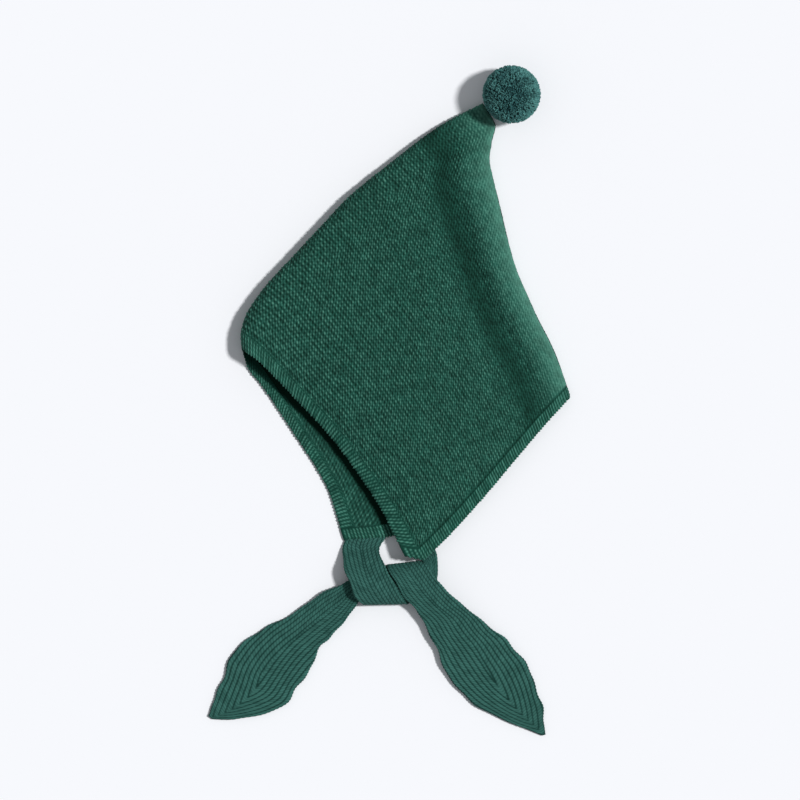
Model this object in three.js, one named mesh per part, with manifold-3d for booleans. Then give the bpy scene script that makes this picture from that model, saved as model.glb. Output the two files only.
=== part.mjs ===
// Knit elf hat, lying folded flat on its side: a pointed hood with a crown fold and a back seam,
// ribbed bands round the face and neck openings, two leaf-ended ties in a half knot, and a pompom.
// Millimetres and degrees, +Z up, resting on z = 0. Headings turn from +X towards +Y.
import * as THREE from 'three';
import { mergeVertices } from 'three/addons/utils/BufferGeometryUtils.js';
import Module from 'manifold-3d';

// Hood outline: each side is a chord between two corners of the folded hood
const CROWN_LENGTH = 234;
const CROWN_HEADING = 45.5;
const FACE_LENGTH = 180;
const FACE_HEADING = -51.9;
const BACK_LENGTH = 209;
const BACK_HEADING = -73.4;
// How far the far layer's chin corner lies from the near layer's, along X and along Y
const FAR_CHIN_BACK = 41.5;
const FAR_CHIN_UP = 10.9;

// Cloth: walls, the height of the folded hood, and the running gap between separate pieces
const WALL = 2.2;
const BAND_WALL = 2.6;
const HOOD_LOFT = 14.5;
const SEAM_ALLOWANCE = 9;
const GAP = 0.42;

// Ribbed bands
const FACE_BAND_WIDTH = 9.5;
const NECK_BAND_WIDTH = 7.5;
const RIB_PITCH = 2.4;
const RIB_RELIEF = 0.3;

// Ties and their half knot, placed from the near chin corner
const STRAP_WIDTH = 25;
const STRAP_THICKNESS = 2.5;
const STRAP_RIB_RELIEF = 0.35;
const KNOT_HEIGHT = 13;
const KNOT_BACK = 4.8;
const KNOT_DOWN = 20.4;

// Pompom and the bound yarn that holds it on the tip
const POMPOM_DIAMETER = 39;
const POMPOM_REACH = 20.6;
const POMPOM_HEADING = 42;
const LOCK_DEPTH = 3.2;
const LOCK_TIP_WIDTH = 5.4;
const LOCK_FOOT_WIDTH = 9.6;
const YARN_NECK_WIDTH = 11;
const YARN_NECK_HEIGHT = 7.5;

// Facets. The bunchings close up the hood's facets towards its back seam and its crown fold
const HOOD_STATIONS = 18;
const SEAM_BUNCHING = 1.25;
const LAYER_STEPS = 14;
const FOLD_BUNCHING = 1.12;
const FOLD_STEPS = 4;
const COURSE_SAMPLES = 400;
const STRAP_RIBS = 3;
const STRAP_STEPS_PER_ROW = 2;
const STRAP_ROOT_STEPS = 3;
const LOCK_COUNT = 42;
const LOCK_SIDES = 4;
const HEAD_DETAIL = 2;
const YARN_NECK_SIDES = 10;
const CLEARANCE_SIDES = 24;

// Outline bulges to the left of each chord, as shares of its length
const CROWN_BULGE = [
  { along: 0.0, bulge: 0.0 }, { along: 0.04, bulge: 0.039 }, { along: 0.1, bulge: 0.064 },
  { along: 0.2, bulge: 0.078 }, { along: 0.38, bulge: 0.083 }, { along: 0.52, bulge: 0.086 },
  { along: 0.68, bulge: 0.07 }, { along: 0.85, bulge: 0.045 }, { along: 1.0, bulge: 0.0 },
];
const BACK_BULGE = [
  { along: 0.0, bulge: 0.0 }, { along: 0.08, bulge: 0.018 }, { along: 0.13, bulge: -0.008 },
  { along: 0.2, bulge: -0.035 }, { along: 0.33, bulge: -0.042 }, { along: 0.52, bulge: -0.051 },
  { along: 0.7, bulge: -0.032 }, { along: 0.86, bulge: -0.006 }, { along: 1.0, bulge: 0.0 },
];
const NEAR_FACE_BULGE = [
  { along: 0.0, bulge: 0.0 }, { along: 0.09, bulge: 0.022 }, { along: 0.28, bulge: 0.042 },
  { along: 0.5, bulge: 0.058 }, { along: 0.75, bulge: 0.045 }, { along: 1.0, bulge: 0.0 },
];
const FAR_FACE_BULGE = [
  { along: 0.0, bulge: 0.0 }, { along: 0.1, bulge: -0.018 }, { along: 0.2, bulge: 0.0 },
  { along: 0.44, bulge: 0.025 }, { along: 0.72, bulge: 0.045 }, { along: 1.0, bulge: 0.0 },
];
const NEAR_NECK_BULGE = [
  { along: 0.0, bulge: 0.0 }, { along: 0.06, bulge: -0.07 }, { along: 0.16, bulge: -0.07 },
  { along: 0.4, bulge: -0.056 }, { along: 0.65, bulge: -0.03 }, { along: 0.85, bulge: -0.01 },
  { along: 1.0, bulge: 0.0 },
];
const FAR_NECK_BULGE = [
  { along: 0.0, bulge: 0.0 }, { along: 0.2, bulge: -0.095 }, { along: 0.42, bulge: -0.125 },
  { along: 0.6, bulge: -0.095 }, { along: 0.8, bulge: -0.035 }, { along: 1.0, bulge: 0.0 },
];

// How far the near layer rises over the two flat layers, as shares of the hood's loft: a row for
// each station from the face opening to the back seam, a column for each line from crown to neck
const NEAR_LOFT = [
  { station: 0.0, crown: 0.96, upper: 0.7, middle: 0.5, lower: 0.37, neck: 0.27 },
  { station: 0.12, crown: 0.92, upper: 0.83, middle: 0.7, lower: 0.5, neck: 0.28 },
  { station: 0.3, crown: 0.83, upper: 0.9, middle: 0.83, lower: 0.59, neck: 0.27 },
  { station: 0.55, crown: 0.72, upper: 0.86, middle: 0.86, lower: 0.61, neck: 0.26 },
  { station: 0.74, crown: 0.59, upper: 0.7, middle: 0.72, lower: 0.56, neck: 0.26 },
  { station: 0.86, crown: 0.39, upper: 0.37, middle: 0.39, lower: 0.38, neck: 0.23 },
  { station: 0.93, crown: 0.23, upper: 0.48, middle: 0.61, lower: 0.53, neck: 0.26 },
  { station: 1.0, crown: 0.0, upper: 0.0, middle: 0.0, lower: 0.0, neck: 0.0 },
];
const LOFT_COLUMNS = { crown: 0.0, upper: 0.22, middle: 0.5, lower: 0.8, neck: 1.0 };

// Strap sections after the root. x and y run from the knot's centre in strap widths; lift is the
// rise off the table in knot heights; wide is in strap widths; turn is the heading from the
// section's first edge to its second; tilt raises the first edge over the second, in knot heights
const FAR_TIE_SECTIONS = [
  { x: -0.99, y: 1.08, lift: 0.02, wide: 1.02, turn: 0, tilt: 0.0 },
  { x: -0.96, y: 0.82, lift: 0.33, wide: 1.05, turn: 0, tilt: 0.0 },
  { x: -0.86, y: 0.42, lift: 0.83, wide: 1.13, turn: 1, tilt: 0.0 },
  { x: -0.67, y: 0.0, lift: 1.0, wide: 1.26, turn: 1, tilt: 0.0 },
  { x: -0.47, y: -0.3, lift: 0.83, wide: 1.29, turn: 2, tilt: 0.0 },
  { x: -0.32, y: -0.44, lift: 0.4, wide: 1.22, turn: 1, tilt: 0.0 },
  { x: -0.27, y: -0.29, lift: 0.03, wide: 1.2, turn: 1, tilt: 0.0 },
  { x: -0.05, y: 0.11, lift: 0.02, wide: 1.14, turn: 3, tilt: 0.0 },
  { x: 0.09, y: 0.42, lift: 0.03, wide: 1.04, turn: 5, tilt: 0.0 },
  { x: 0.13, y: 0.6, lift: 0.4, wide: 0.94, turn: 7, tilt: 0.0 },
  { x: 0.24, y: 0.5, lift: 0.79, wide: 1.04, turn: 7, tilt: 0.0 },
  { x: 0.5, y: 0.16, lift: 0.97, wide: 1.14, turn: 5, tilt: 0.0 },
  { x: 0.83, y: -0.27, lift: 0.75, wide: 1.19, turn: 8, tilt: 0.0 },
  { x: 1.1, y: -0.56, lift: 0.54, wide: 1.28, turn: 6, tilt: 0.0 },
  { x: 1.44, y: -0.87, lift: 0.4, wide: 1.48, turn: 6, tilt: 0.04 },
  { x: 1.71, y: -1.25, lift: 0.31, wide: 1.65, turn: 8, tilt: 0.06 },
  { x: 2.04, y: -1.66, lift: 0.22, wide: 1.9, turn: 13, tilt: 0.09 },
  { x: 2.39, y: -2.2, lift: 0.13, wide: 2.07, turn: 14, tilt: 0.08 },
  { x: 2.73, y: -2.72, lift: 0.07, wide: 1.94, turn: 15, tilt: 0.04 },
  { x: 3.09, y: -3.18, lift: 0.04, wide: 1.58, turn: 12, tilt: 0.01 },
  { x: 3.52, y: -3.63, lift: 0.02, wide: 0.92, turn: 12, tilt: 0.0 },
  { x: 3.81, y: -3.88, lift: 0.01, wide: 0.39, turn: 14, tilt: 0.0 },
  { x: 3.98, y: -4.04, lift: 0.0, wide: 0.09, turn: 18, tilt: 0.0 },
];
const NEAR_TIE_ROOT = { x: 0.67, y: 1.01, wide: 0.74, turn: 188, tilt: 0.0 };
const NEAR_TIE_SECTIONS = [
  { x: 0.78, y: 0.82, lift: 0.26, wide: 0.57, turn: 185, tilt: 0.0 },
  { x: 0.89, y: 0.6, lift: 0.34, wide: 0.4, turn: 172, tilt: 0.0 },
  { x: 0.9, y: 0.35, lift: 0.42, wide: 0.38, turn: 154, tilt: 0.0 },
  { x: 0.8, y: 0.15, lift: 0.44, wide: 0.56, turn: 125, tilt: 0.0 },
  { x: 0.57, y: 0.04, lift: 0.44, wide: 0.68, turn: 110, tilt: 0.0 },
  { x: 0.19, y: 0.03, lift: 0.44, wide: 0.68, turn: 102, tilt: 0.0 },
  { x: -0.3, y: 0.03, lift: 0.44, wide: 0.66, turn: 94, tilt: 0.0 },
  { x: -0.8, y: 0.01, lift: 0.44, wide: 0.62, turn: 102, tilt: 0.0 },
  { x: -1.2, y: -0.1, lift: 0.4, wide: 0.64, turn: 115, tilt: 0.0 },
  { x: -1.55, y: -0.41, lift: 0.29, wide: 0.85, turn: 130, tilt: 0.0 },
  { x: -1.94, y: -0.72, lift: 0.17, wide: 1.08, turn: 136, tilt: 0.0 },
  { x: -2.31, y: -1.01, lift: 0.1, wide: 1.15, turn: 141, tilt: 0.0 },
  { x: -2.62, y: -1.27, lift: 0.07, wide: 1.3, turn: 148, tilt: 0.0 },
  { x: -3.01, y: -1.6, lift: 0.06, wide: 1.7, turn: 151, tilt: 0.0 },
  { x: -3.39, y: -2.01, lift: 0.05, wide: 1.95, turn: 153, tilt: 0.0 },
  { x: -3.66, y: -2.39, lift: 0.04, wide: 2.0, turn: 156, tilt: 0.0 },
  { x: -3.9, y: -2.82, lift: 0.03, wide: 1.86, turn: 157, tilt: 0.0 },
  { x: -4.28, y: -3.19, lift: 0.02, wide: 1.4, turn: 156, tilt: 0.0 },
  { x: -4.71, y: -3.45, lift: 0.01, wide: 0.8, turn: 156, tilt: 0.0 },
  { x: -5.11, y: -3.56, lift: 0.0, wide: 0.14, turn: 142, tilt: 0.0 },
];

// The yarn neck between tip and pompom: how far along its reach, and its width and height
const YARN_NECK_SECTIONS = [
  { along: 0.0, wide: 0.9, high: 0.7 }, { along: 0.12, wide: 1.0, high: 1.0 },
  { along: 0.24, wide: 0.72, high: 0.92 }, { along: 0.42, wide: 0.85, high: 0.9 },
];
// How far along it has turned from square to the tip to the pompom's heading
const YARN_NECK_TURNED = 0.33;

const { degToRad, lerp } = THREE.MathUtils;
const UP = new THREE.Vector3(0, 0, 1);

// The point a distance away from a start, on a heading
function from(start, distance, degrees) {
  const angle = degToRad(degrees);
  return start.clone().add(new THREE.Vector2(Math.cos(angle), Math.sin(angle)).multiplyScalar(distance));
}

// A smooth curve through the named values at the given places, which never overshoots them
function smoothValue(places, values, at) {
  const last = places.length - 1;
  const slopes = places.slice(1).map((place, i) => (values[i + 1] - values[i]) / (place - places[i]));
  const tangent = (i) => {
    if (i === 0) return slopes[0];
    if (i === last) return slopes[last - 1];
    if (slopes[i - 1] * slopes[i] <= 0) return 0;
    return (2 * slopes[i - 1] * slopes[i]) / (slopes[i - 1] + slopes[i]);
  };
  let i = 0;
  while (i < last - 1 && at > places[i + 1]) i += 1;
  const span = places[i + 1] - places[i];
  const u = THREE.MathUtils.clamp((at - places[i]) / span, 0, 1);
  const rise = values[i + 1] - values[i];
  const bend = (1 - u) * (span * tangent(i) - rise) - u * (span * tangent(i + 1) - rise);
  return lerp(values[i], values[i + 1], u) + u * (1 - u) * bend;
}

// One side of the outline: a chord bowed by its table of bulges
class Side {
  constructor(start, end, bulges) {
    this.start = start;
    this.run = end.clone().sub(start);
    this.left = new THREE.Vector2(-this.run.y, this.run.x);
    this.length = this.run.length();
    this.places = bulges.map((row) => row.along);
    this.bulges = bulges.map((row) => row.bulge);
  }

  point(along) {
    const bulge = smoothValue(this.places, this.bulges, along);
    return this.start.clone().addScaledVector(this.run, along).addScaledVector(this.left, bulge);
  }
}

// Corners of the folded hood, seen from above
const forehead = new THREE.Vector2(0, 0);
const crownTip = from(forehead, CROWN_LENGTH, CROWN_HEADING);
const nape = from(crownTip, BACK_LENGTH, BACK_HEADING);
const nearChin = from(forehead, FACE_LENGTH, FACE_HEADING);
const farChin = nearChin.clone().add(new THREE.Vector2(-FAR_CHIN_BACK, FAR_CHIN_UP));

const crownSide = new Side(forehead, crownTip, CROWN_BULGE);
const backSide = new Side(crownTip, nape, BACK_BULGE);
const near = {
  chin: nearChin,
  face: new Side(forehead, nearChin, NEAR_FACE_BULGE),
  neck: new Side(nearChin, nape, NEAR_NECK_BULGE),
};
const far = {
  chin: farChin,
  face: new Side(forehead, farChin, FAR_FACE_BULGE),
  neck: new Side(farChin, nape, FAR_NECK_BULGE),
};

// Lengths of the cloth from face to back, and from crown to neck, for turning widths into shares
const rowLength = (layer, t) => lerp(CROWN_LENGTH, layer.neck.length, t);
const columnLength = (layer, s) => lerp(layer.face.length, BACK_LENGTH, s);

// Place seen from above: s runs from the face edge to the back seam, t from the crown to the neck
function plan(layer, s, t) {
  const across = crownSide.point(s).multiplyScalar(1 - t).addScaledVector(layer.neck.point(s), t);
  const along = layer.face.point(t).multiplyScalar(1 - s).addScaledVector(backSide.point(t), s);
  const corners = forehead.clone().multiplyScalar((1 - s) * (1 - t));
  corners.addScaledVector(crownTip, s * (1 - t));
  corners.addScaledVector(layer.chin, (1 - s) * t);
  corners.addScaledVector(nape, s * t);
  return across.add(along).sub(corners);
}

// Height of the near layer's top
const flatLayers = 2 * BAND_WALL + GAP;
const stations = NEAR_LOFT.map((row) => row.station);
const columns = Object.keys(LOFT_COLUMNS);
function nearTop(s, t) {
  const row = columns.map((name) => smoothValue(stations, NEAR_LOFT.map((each) => each[name]), s));
  return flatLayers + HOOD_LOFT * smoothValue(Object.values(LOFT_COLUMNS), row, t);
}

const lifted = (flat, height) => new THREE.Vector3(flat.x, flat.y, height);

// A point of a layer's cloth, inset from its outer skin
function layerPoint(layer, s, t, inset) {
  return lifted(plan(layer, s, t), layer === near ? nearTop(s, t) - inset : inset);
}

// A point on a round fold between the layers: turn runs from -1 where it meets the far layer,
// through 0 at its crest, to 1 where it meets the near layer; place gives a layer's plan point at
// a distance in from the crest
function foldPoint(turn, height, place, inset) {
  const angle = (turn * Math.PI) / 2;
  const radius = height / 2;
  const inward = inset + (radius - inset) * (1 - Math.cos(angle));
  const flat = place(far, inward).lerp(place(near, inward), (1 + Math.sin(angle)) / 2);
  return lifted(flat, radius + (radius - inset) * Math.sin(angle));
}

// The hood's cross-section at s: q runs from -1 at the far layer's neck edge, through 0 at the
// crown fold's crest, to 1 at the near layer's neck edge
const FOLD_SHARE = FOLD_STEPS / (FOLD_STEPS + LAYER_STEPS);
function crownSection(s, q, inset) {
  const layer = q < 0 ? far : near;
  const length = columnLength(layer, s);
  const height = nearTop(s, 0);
  const share = Math.abs(q);
  if (share < FOLD_SHARE) {
    const place = (side, inward) => plan(side, s, inward / columnLength(side, s));
    return foldPoint(q / FOLD_SHARE, height, place, inset);
  }
  const foldEnd = height / 2 / length;
  const neckEnd = 1 - (NECK_BAND_WIDTH + GAP) / length;
  const beyond = (share - FOLD_SHARE) / (1 - FOLD_SHARE);
  return layerPoint(layer, s, lerp(foldEnd, neckEnd, beyond ** FOLD_BUNCHING), inset);
}

// The neck band's cloth at a width in from the neck edge: run goes from 0 at the far chin, through
// the nape half way, to 1 at the near chin
const NAPE_SHARE = 0.02;
function neckCourse(run, width, inset) {
  const p = 2 * run - 1;
  const layer = p < 0 ? far : near;
  const share = Math.abs(p);
  const height = nearTop(1, 1);
  const length = layer.neck.length;
  const line = (s) => 1 - width / columnLength(layer, s);
  if (share < NAPE_SHARE) {
    const place = (side, inward) => {
      const s = 1 - inward / side.neck.length;
      return plan(side, s, line(s));
    };
    return foldPoint(p / NAPE_SHARE, height, place, inset);
  }
  const s = (1 - height / 2 / length) * (1 - (share - NAPE_SHARE) / (1 - NAPE_SHARE));
  return layerPoint(layer, s, line(s), inset);
}

// A closed body gathered from points and quads, turned so that its faces point out
class Body {
  constructor() {
    this.points = [];
    this.triangles = [];
  }

  add(points) {
    return points.map((point) => this.points.push(point) - 1);
  }

  quad(a, b, c, d) {
    this.triangles.push([a, b, c], [a, c, d]);
  }

  strip(first, second) {
    for (let i = 0; i + 1 < first.length; i += 1) {
      this.quad(first[i], second[i], second[i + 1], first[i + 1]);
    }
  }

  // Closes an open row on itself, its first point meeting its last
  zip(row) {
    for (let i = 0; i < row.length - 2 - i; i += 1) {
      const far = row.length - 1 - i;
      if (far - 1 > i + 1) this.quad(row[i], row[i + 1], row[far - 1], row[far]);
      else this.triangles.push([row[i], row[i + 1], row[far]]);
    }
  }

  geometry() {
    const corners = this.triangles.map((triangle) => triangle.map((index) => this.points[index]));
    const volume = corners.reduce((sum, [a, b, c]) => sum + a.dot(b.clone().cross(c)), 0);
    const ordered = volume > 0 ? corners : corners.map(([a, b, c]) => [a, c, b]);
    const positions = ordered.flat().flatMap((point) => point.toArray());
    const geometry = new THREE.BufferGeometry();
    geometry.setAttribute('position', new THREE.Float32BufferAttribute(positions, 3));
    return mergeVertices(geometry);
  }
}

// A bar through closed sections of as many points each, with both ends closed
function bar(sections) {
  const body = new Body();
  const rows = sections.map((section) => body.add(section));
  rows.slice(1).forEach((row, i) => body.strip([...rows[i], rows[i][0]], [...row, row[0]]));
  body.zip(rows[0]);
  body.zip(rows.at(-1).toReversed());
  return body.geometry();
}

// Hood: an outer and an inner skin, joined round the face and neck edges and closed at the seam
function hoodGeometry() {
  const body = new Body();
  const steps = FOLD_STEPS + LAYER_STEPS;
  const section = (share, inset, allowance) => Array.from({ length: 2 * steps + 1 }, (_, j) => {
    const q = j / steps - 1;
    const length = rowLength(q < 0 ? far : near, Math.abs(q));
    const s = lerp((FACE_BAND_WIDTH + GAP) / length, 1 - allowance / length, share);
    return crownSection(s, q, inset);
  });
  const skin = (inset, allowance) => Array.from({ length: HOOD_STATIONS + 1 }, (_, i) => {
    const share = 1 - (1 - i / HOOD_STATIONS) ** SEAM_BUNCHING;
    return body.add(section(share, inset, allowance));
  });
  const outer = skin(0, 0);
  const inner = skin(WALL, SEAM_ALLOWANCE);
  for (let i = 0; i < HOOD_STATIONS; i += 1) {
    body.strip(outer[i], outer[i + 1]);
    body.strip(inner[i + 1], inner[i]);
  }
  body.strip(inner[0], outer[0]);
  body.strip(outer.map((row) => row[0]), inner.map((row) => row[0]));
  body.strip(inner.map((row) => row.at(-1)), outer.map((row) => row.at(-1)));
  const outerEnd = outer.at(-1);
  const innerEnd = inner.at(-1);
  body.zip(outerEnd.toReversed());
  body.zip(innerEnd);
  body.quad(outerEnd.at(-1), outerEnd[0], innerEnd[0], innerEnd.at(-1));
  return body.geometry();
}

// Ribbed band, through the cloth that a course gives at shares of the band's run
function bandGeometry(course, width, wall) {
  const fine = Array.from({ length: COURSE_SAMPLES + 1 }, (_, i) => i / COURSE_SAMPLES);
  const middle = fine.map((share) => course(share, width / 2, 0));
  const lengths = [0];
  middle.slice(1).forEach((point, i) => lengths.push(lengths[i] + point.distanceTo(middle[i])));
  const run = lengths.at(-1);
  const steps = 2 * Math.round(run / RIB_PITCH);
  const sections = [];
  for (let k = 0, i = 0; k <= steps; k += 1) {
    const reached = (run * k) / steps;
    while (i < fine.length - 2 && lengths[i + 1] < reached) i += 1;
    const share = lerp(fine[i], fine[i + 1], (reached - lengths[i]) / (lengths[i + 1] - lengths[i]));
    const groove = (k % 2) * RIB_RELIEF;
    const outside = [course(share, 0, groove), course(share, width, groove)];
    const inside = [course(share, width, wall - groove), course(share, 0, wall - groove)];
    sections.push([...outside, ...inside]);
  }
  return bar(sections);
}

// The face band's cloth: run goes from 0 at the far chin, round the forehead, to 1 at the near chin
function faceCourse(run, width, inset) {
  const q = 2 * run - 1;
  return crownSection(width / rowLength(q < 0 ? far : near, Math.abs(q)), q, inset);
}

// One edge of a strap: a curve past the side of every section
const knotCentre = nearChin.clone().sub(new THREE.Vector2(KNOT_BACK, KNOT_DOWN));
function strapEdge(sections, side) {
  const points = sections.map((row) => {
    const middle = new THREE.Vector2(row.x, row.y).multiplyScalar(STRAP_WIDTH).add(knotCentre);
    const rise = (row.lift - (side * row.tilt) / 2) * KNOT_HEIGHT;
    return lifted(from(middle, (side * row.wide * STRAP_WIDTH) / 2, row.turn), STRAP_THICKNESS / 2 + rise);
  });
  return new THREE.CatmullRomCurve3(points);
}

// Strap: a ribbed ribbon through its sections; root points, where given, replace its first edge
function strapGeometry(sections, root) {
  const edges = [-1, 1].map((side) => strapEdge(sections, side));
  const across = 2 * STRAP_RIBS;
  const steps = STRAP_STEPS_PER_ROW * (sections.length - 1);
  const rung = (k) => Array.from({ length: across + 1 }, (_, j) => {
    const [first, second] = edges.map((edge) => edge.getPoint(k / steps));
    return first.lerp(second, j / across);
  });
  const offsets = root ? rung(0).map((point, j) => root[j].clone().sub(point)) : [];
  const grid = Array.from({ length: steps + 1 }, (_, k) => rung(k).map((point, j) => {
    if (root) point.addScaledVector(offsets[j], Math.max(0, 1 - k / STRAP_ROOT_STEPS));
    point.z = Math.max(point.z, STRAP_THICKNESS / 2);
    return point;
  }));
  let up = UP;
  return bar(grid.map((row, k) => {
    const behind = grid[Math.max(k - 1, 0)][STRAP_RIBS];
    const ahead = grid[Math.min(k + 1, steps)][STRAP_RIBS].clone().sub(behind);
    const normal = ahead.cross(row.at(-1).clone().sub(row[0])).normalize();
    if (normal.dot(up) < 0) normal.negate();
    up = normal;
    const skin = (side) => row.map((point, j) => {
      const groove = (j % 2) * STRAP_RIB_RELIEF;
      return point.clone().addScaledVector(normal, side * (STRAP_THICKNESS / 2 - groove));
    });
    return [...skin(1), ...skin(-1).reverse()];
  }));
}

// Far tie: sewn edge to edge to the far end of the neck band
function farTieGeometry() {
  const share = STRAP_WIDTH / far.neck.length;
  const [start, end] = [far.neck.point(0), far.neck.point(share)];
  const run = end.clone().sub(start);
  const out = new THREE.Vector2(run.y, -run.x).normalize();
  const root = Array.from({ length: 2 * STRAP_RIBS + 1 }, (_, j) => {
    const point = far.neck.point((share * j) / (2 * STRAP_RIBS));
    return lifted(point.addScaledVector(out, GAP), STRAP_THICKNESS / 2);
  });
  const rootMiddle = start.clone().lerp(end, 0.5).sub(knotCentre);
  const section = {
    x: rootMiddle.x / STRAP_WIDTH,
    y: rootMiddle.y / STRAP_WIDTH,
    lift: 0,
    wide: run.length() / STRAP_WIDTH,
    turn: THREE.MathUtils.radToDeg(run.angle()),
    tilt: 0,
  };
  return strapGeometry([section, ...FAR_TIE_SECTIONS], root);
}

// Near tie: sewn under the near end of the neck band
function nearTieGeometry() {
  const under = nearTop(0, 1) - BAND_WALL - GAP;
  const lift = (under - STRAP_THICKNESS) / KNOT_HEIGHT;
  return strapGeometry([{ ...NEAR_TIE_ROOT, lift }, ...NEAR_TIE_SECTIONS]);
}

// Solids that are cut or joined
const MERGE_DISTANCE = 1e-4;
const wasm = await Module();
wasm.setup();

function solid(geometry) {
  geometry.deleteAttribute('normal');
  geometry.deleteAttribute('uv');
  const merged = mergeVertices(geometry, MERGE_DISTANCE);
  const vertProperties = new Float32Array(merged.attributes.position.array);
  const triVerts = new Uint32Array(merged.index.array);
  return new wasm.Manifold(new wasm.Mesh({ numProp: 3, vertProperties, triVerts }));
}

function faceted(manifold) {
  const mesh = manifold.getMesh();
  const geometry = new THREE.BufferGeometry();
  geometry.setAttribute('position', new THREE.BufferAttribute(new Float32Array(mesh.vertProperties), 3));
  geometry.setIndex(new THREE.BufferAttribute(new Uint32Array(mesh.triVerts), 1));
  return geometry;
}

const POMPOM_RADIUS = POMPOM_DIAMETER / 2;
const TIP_MIDDLE = 0.04;
const tipMiddle = backSide.point(TIP_MIDDLE);
const tipRun = backSide.point(2 * TIP_MIDDLE).sub(backSide.point(0));
const ball = lifted(from(tipMiddle, POMPOM_REACH, POMPOM_HEADING), POMPOM_RADIUS - GAP);

// Pompom: short locks of yarn standing out of a round head, flattened where it rests
function pompomSolid() {
  const foot = POMPOM_RADIUS - LOCK_DEPTH;
  const head = new THREE.IcosahedronGeometry(foot + LOCK_DEPTH / 2, HEAD_DETAIL);
  let body = solid(head.translate(...ball.toArray()));
  const golden = Math.PI * (3 - Math.sqrt(5));
  for (let i = 0; i < LOCK_COUNT; i += 1) {
    const level = 1 - (2 * i + 1) / LOCK_COUNT;
    const ring = Math.sqrt(1 - level * level);
    const outward = new THREE.Vector3(ring * Math.cos(golden * i), ring * Math.sin(golden * i), level);
    const widths = [LOCK_TIP_WIDTH / 2, LOCK_FOOT_WIDTH / 2];
    const lock = new THREE.CylinderGeometry(...widths, LOCK_DEPTH, LOCK_SIDES);
    const turned = new THREE.Quaternion().setFromUnitVectors(new THREE.Vector3(0, 1, 0), outward);
    const middle = outward.multiplyScalar(foot + LOCK_DEPTH / 2).add(ball);
    body = body.add(solid(lock.applyQuaternion(turned).translate(...middle.toArray())));
  }
  const table = new THREE.BoxGeometry(2 * POMPOM_DIAMETER, 2 * POMPOM_DIAMETER, POMPOM_DIAMETER);
  return body.subtract(solid(table.translate(ball.x, ball.y, -POMPOM_DIAMETER / 2)));
}

// Bound yarn neck, from just off the tip to under the pompom, cut clear of it
function yarnNeckSolid() {
  const square = THREE.MathUtils.radToDeg(new THREE.Vector2(-tipRun.y, tipRun.x).angle());
  const start = from(tipMiddle, GAP, square);
  const sections = YARN_NECK_SECTIONS.map((row) => {
    const facing = lerp(square, POMPOM_HEADING, Math.min(1, row.along / YARN_NECK_TURNED));
    const middle = from(start, row.along * POMPOM_REACH, POMPOM_HEADING);
    return Array.from({ length: YARN_NECK_SIDES }, (_, j) => {
      const angle = (2 * Math.PI * j) / YARN_NECK_SIDES;
      const side = from(middle, (Math.cos(angle) * row.wide * YARN_NECK_WIDTH) / 2, facing + 90);
      return lifted(side, ((row.high * YARN_NECK_HEIGHT) / 2) * (1 + Math.sin(angle)));
    });
  });
  const tipReach = Math.hypot(POMPOM_RADIUS, LOCK_TIP_WIDTH / 2);
  const clearRadius = (tipReach + GAP) / Math.cos(Math.PI / CLEARANCE_SIDES);
  const clear = new THREE.SphereGeometry(clearRadius, CLEARANCE_SIDES, CLEARANCE_SIDES);
  return solid(bar(sections)).subtract(solid(clear.translate(...ball.toArray())));
}

const knit = (color) => new THREE.MeshStandardMaterial({ color, roughness: 0.95, metalness: 0 });
const hat = new THREE.Group();
function addPiece(name, geometry, color) {
  const mesh = new THREE.Mesh(geometry, knit(color));
  mesh.name = name;
  hat.add(mesh);
}

addPiece('hood', hoodGeometry(), 0x244f43);
addPiece('face_band', bandGeometry(faceCourse, FACE_BAND_WIDTH, BAND_WALL), 0x27564a);
addPiece('neck_band', bandGeometry(neckCourse, NECK_BAND_WIDTH, BAND_WALL), 0x27564a);
addPiece('tie_far', farTieGeometry(), 0x29524c);
addPiece('tie_near', nearTieGeometry(), 0x29524c);
addPiece('pompom_tie', faceted(yarnNeckSolid()), 0x1d332f);
addPiece('pompom', faceted(pompomSolid()), 0x2b484b);

// Origin: on the table, under the middle of the whole hat
const box = new THREE.Box3().setFromObject(hat);
const middle = box.getCenter(new THREE.Vector3());
hat.children.forEach((mesh) => mesh.position.set(-middle.x, -middle.y, 0));

export default hat;
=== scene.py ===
"""Knit elf hat lying folded on its side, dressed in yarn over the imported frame."""

import logging
import math
from collections.abc import Callable
from dataclasses import dataclass, field, replace
from enum import Enum
from functools import cached_property

import bmesh
import bpy
import numpy as np
from mathutils import Matrix, Vector


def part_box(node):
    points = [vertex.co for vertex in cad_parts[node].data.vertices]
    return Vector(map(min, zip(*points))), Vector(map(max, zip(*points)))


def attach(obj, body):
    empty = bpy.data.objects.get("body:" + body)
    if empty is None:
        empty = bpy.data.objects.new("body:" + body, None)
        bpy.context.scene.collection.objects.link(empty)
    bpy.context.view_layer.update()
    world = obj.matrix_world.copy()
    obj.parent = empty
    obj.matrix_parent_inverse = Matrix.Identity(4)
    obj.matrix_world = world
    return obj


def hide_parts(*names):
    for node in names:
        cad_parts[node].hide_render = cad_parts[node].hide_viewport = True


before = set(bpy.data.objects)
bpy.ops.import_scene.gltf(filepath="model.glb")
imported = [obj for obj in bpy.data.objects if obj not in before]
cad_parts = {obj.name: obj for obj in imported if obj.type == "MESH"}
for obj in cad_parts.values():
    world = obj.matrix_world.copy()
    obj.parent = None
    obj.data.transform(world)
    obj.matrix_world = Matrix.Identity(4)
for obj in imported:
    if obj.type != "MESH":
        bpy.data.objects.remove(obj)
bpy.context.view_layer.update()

MM = 0.001
ROOT = "root"
SEED = 20
TABLE_CLEARANCE = 0.02
TINY = 1e-12
YARN_CLEARANCE = 0.05
BAND_LAP = 0.4
SPAN_SAMPLES = 40

log = logging.getLogger("hat")

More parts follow.
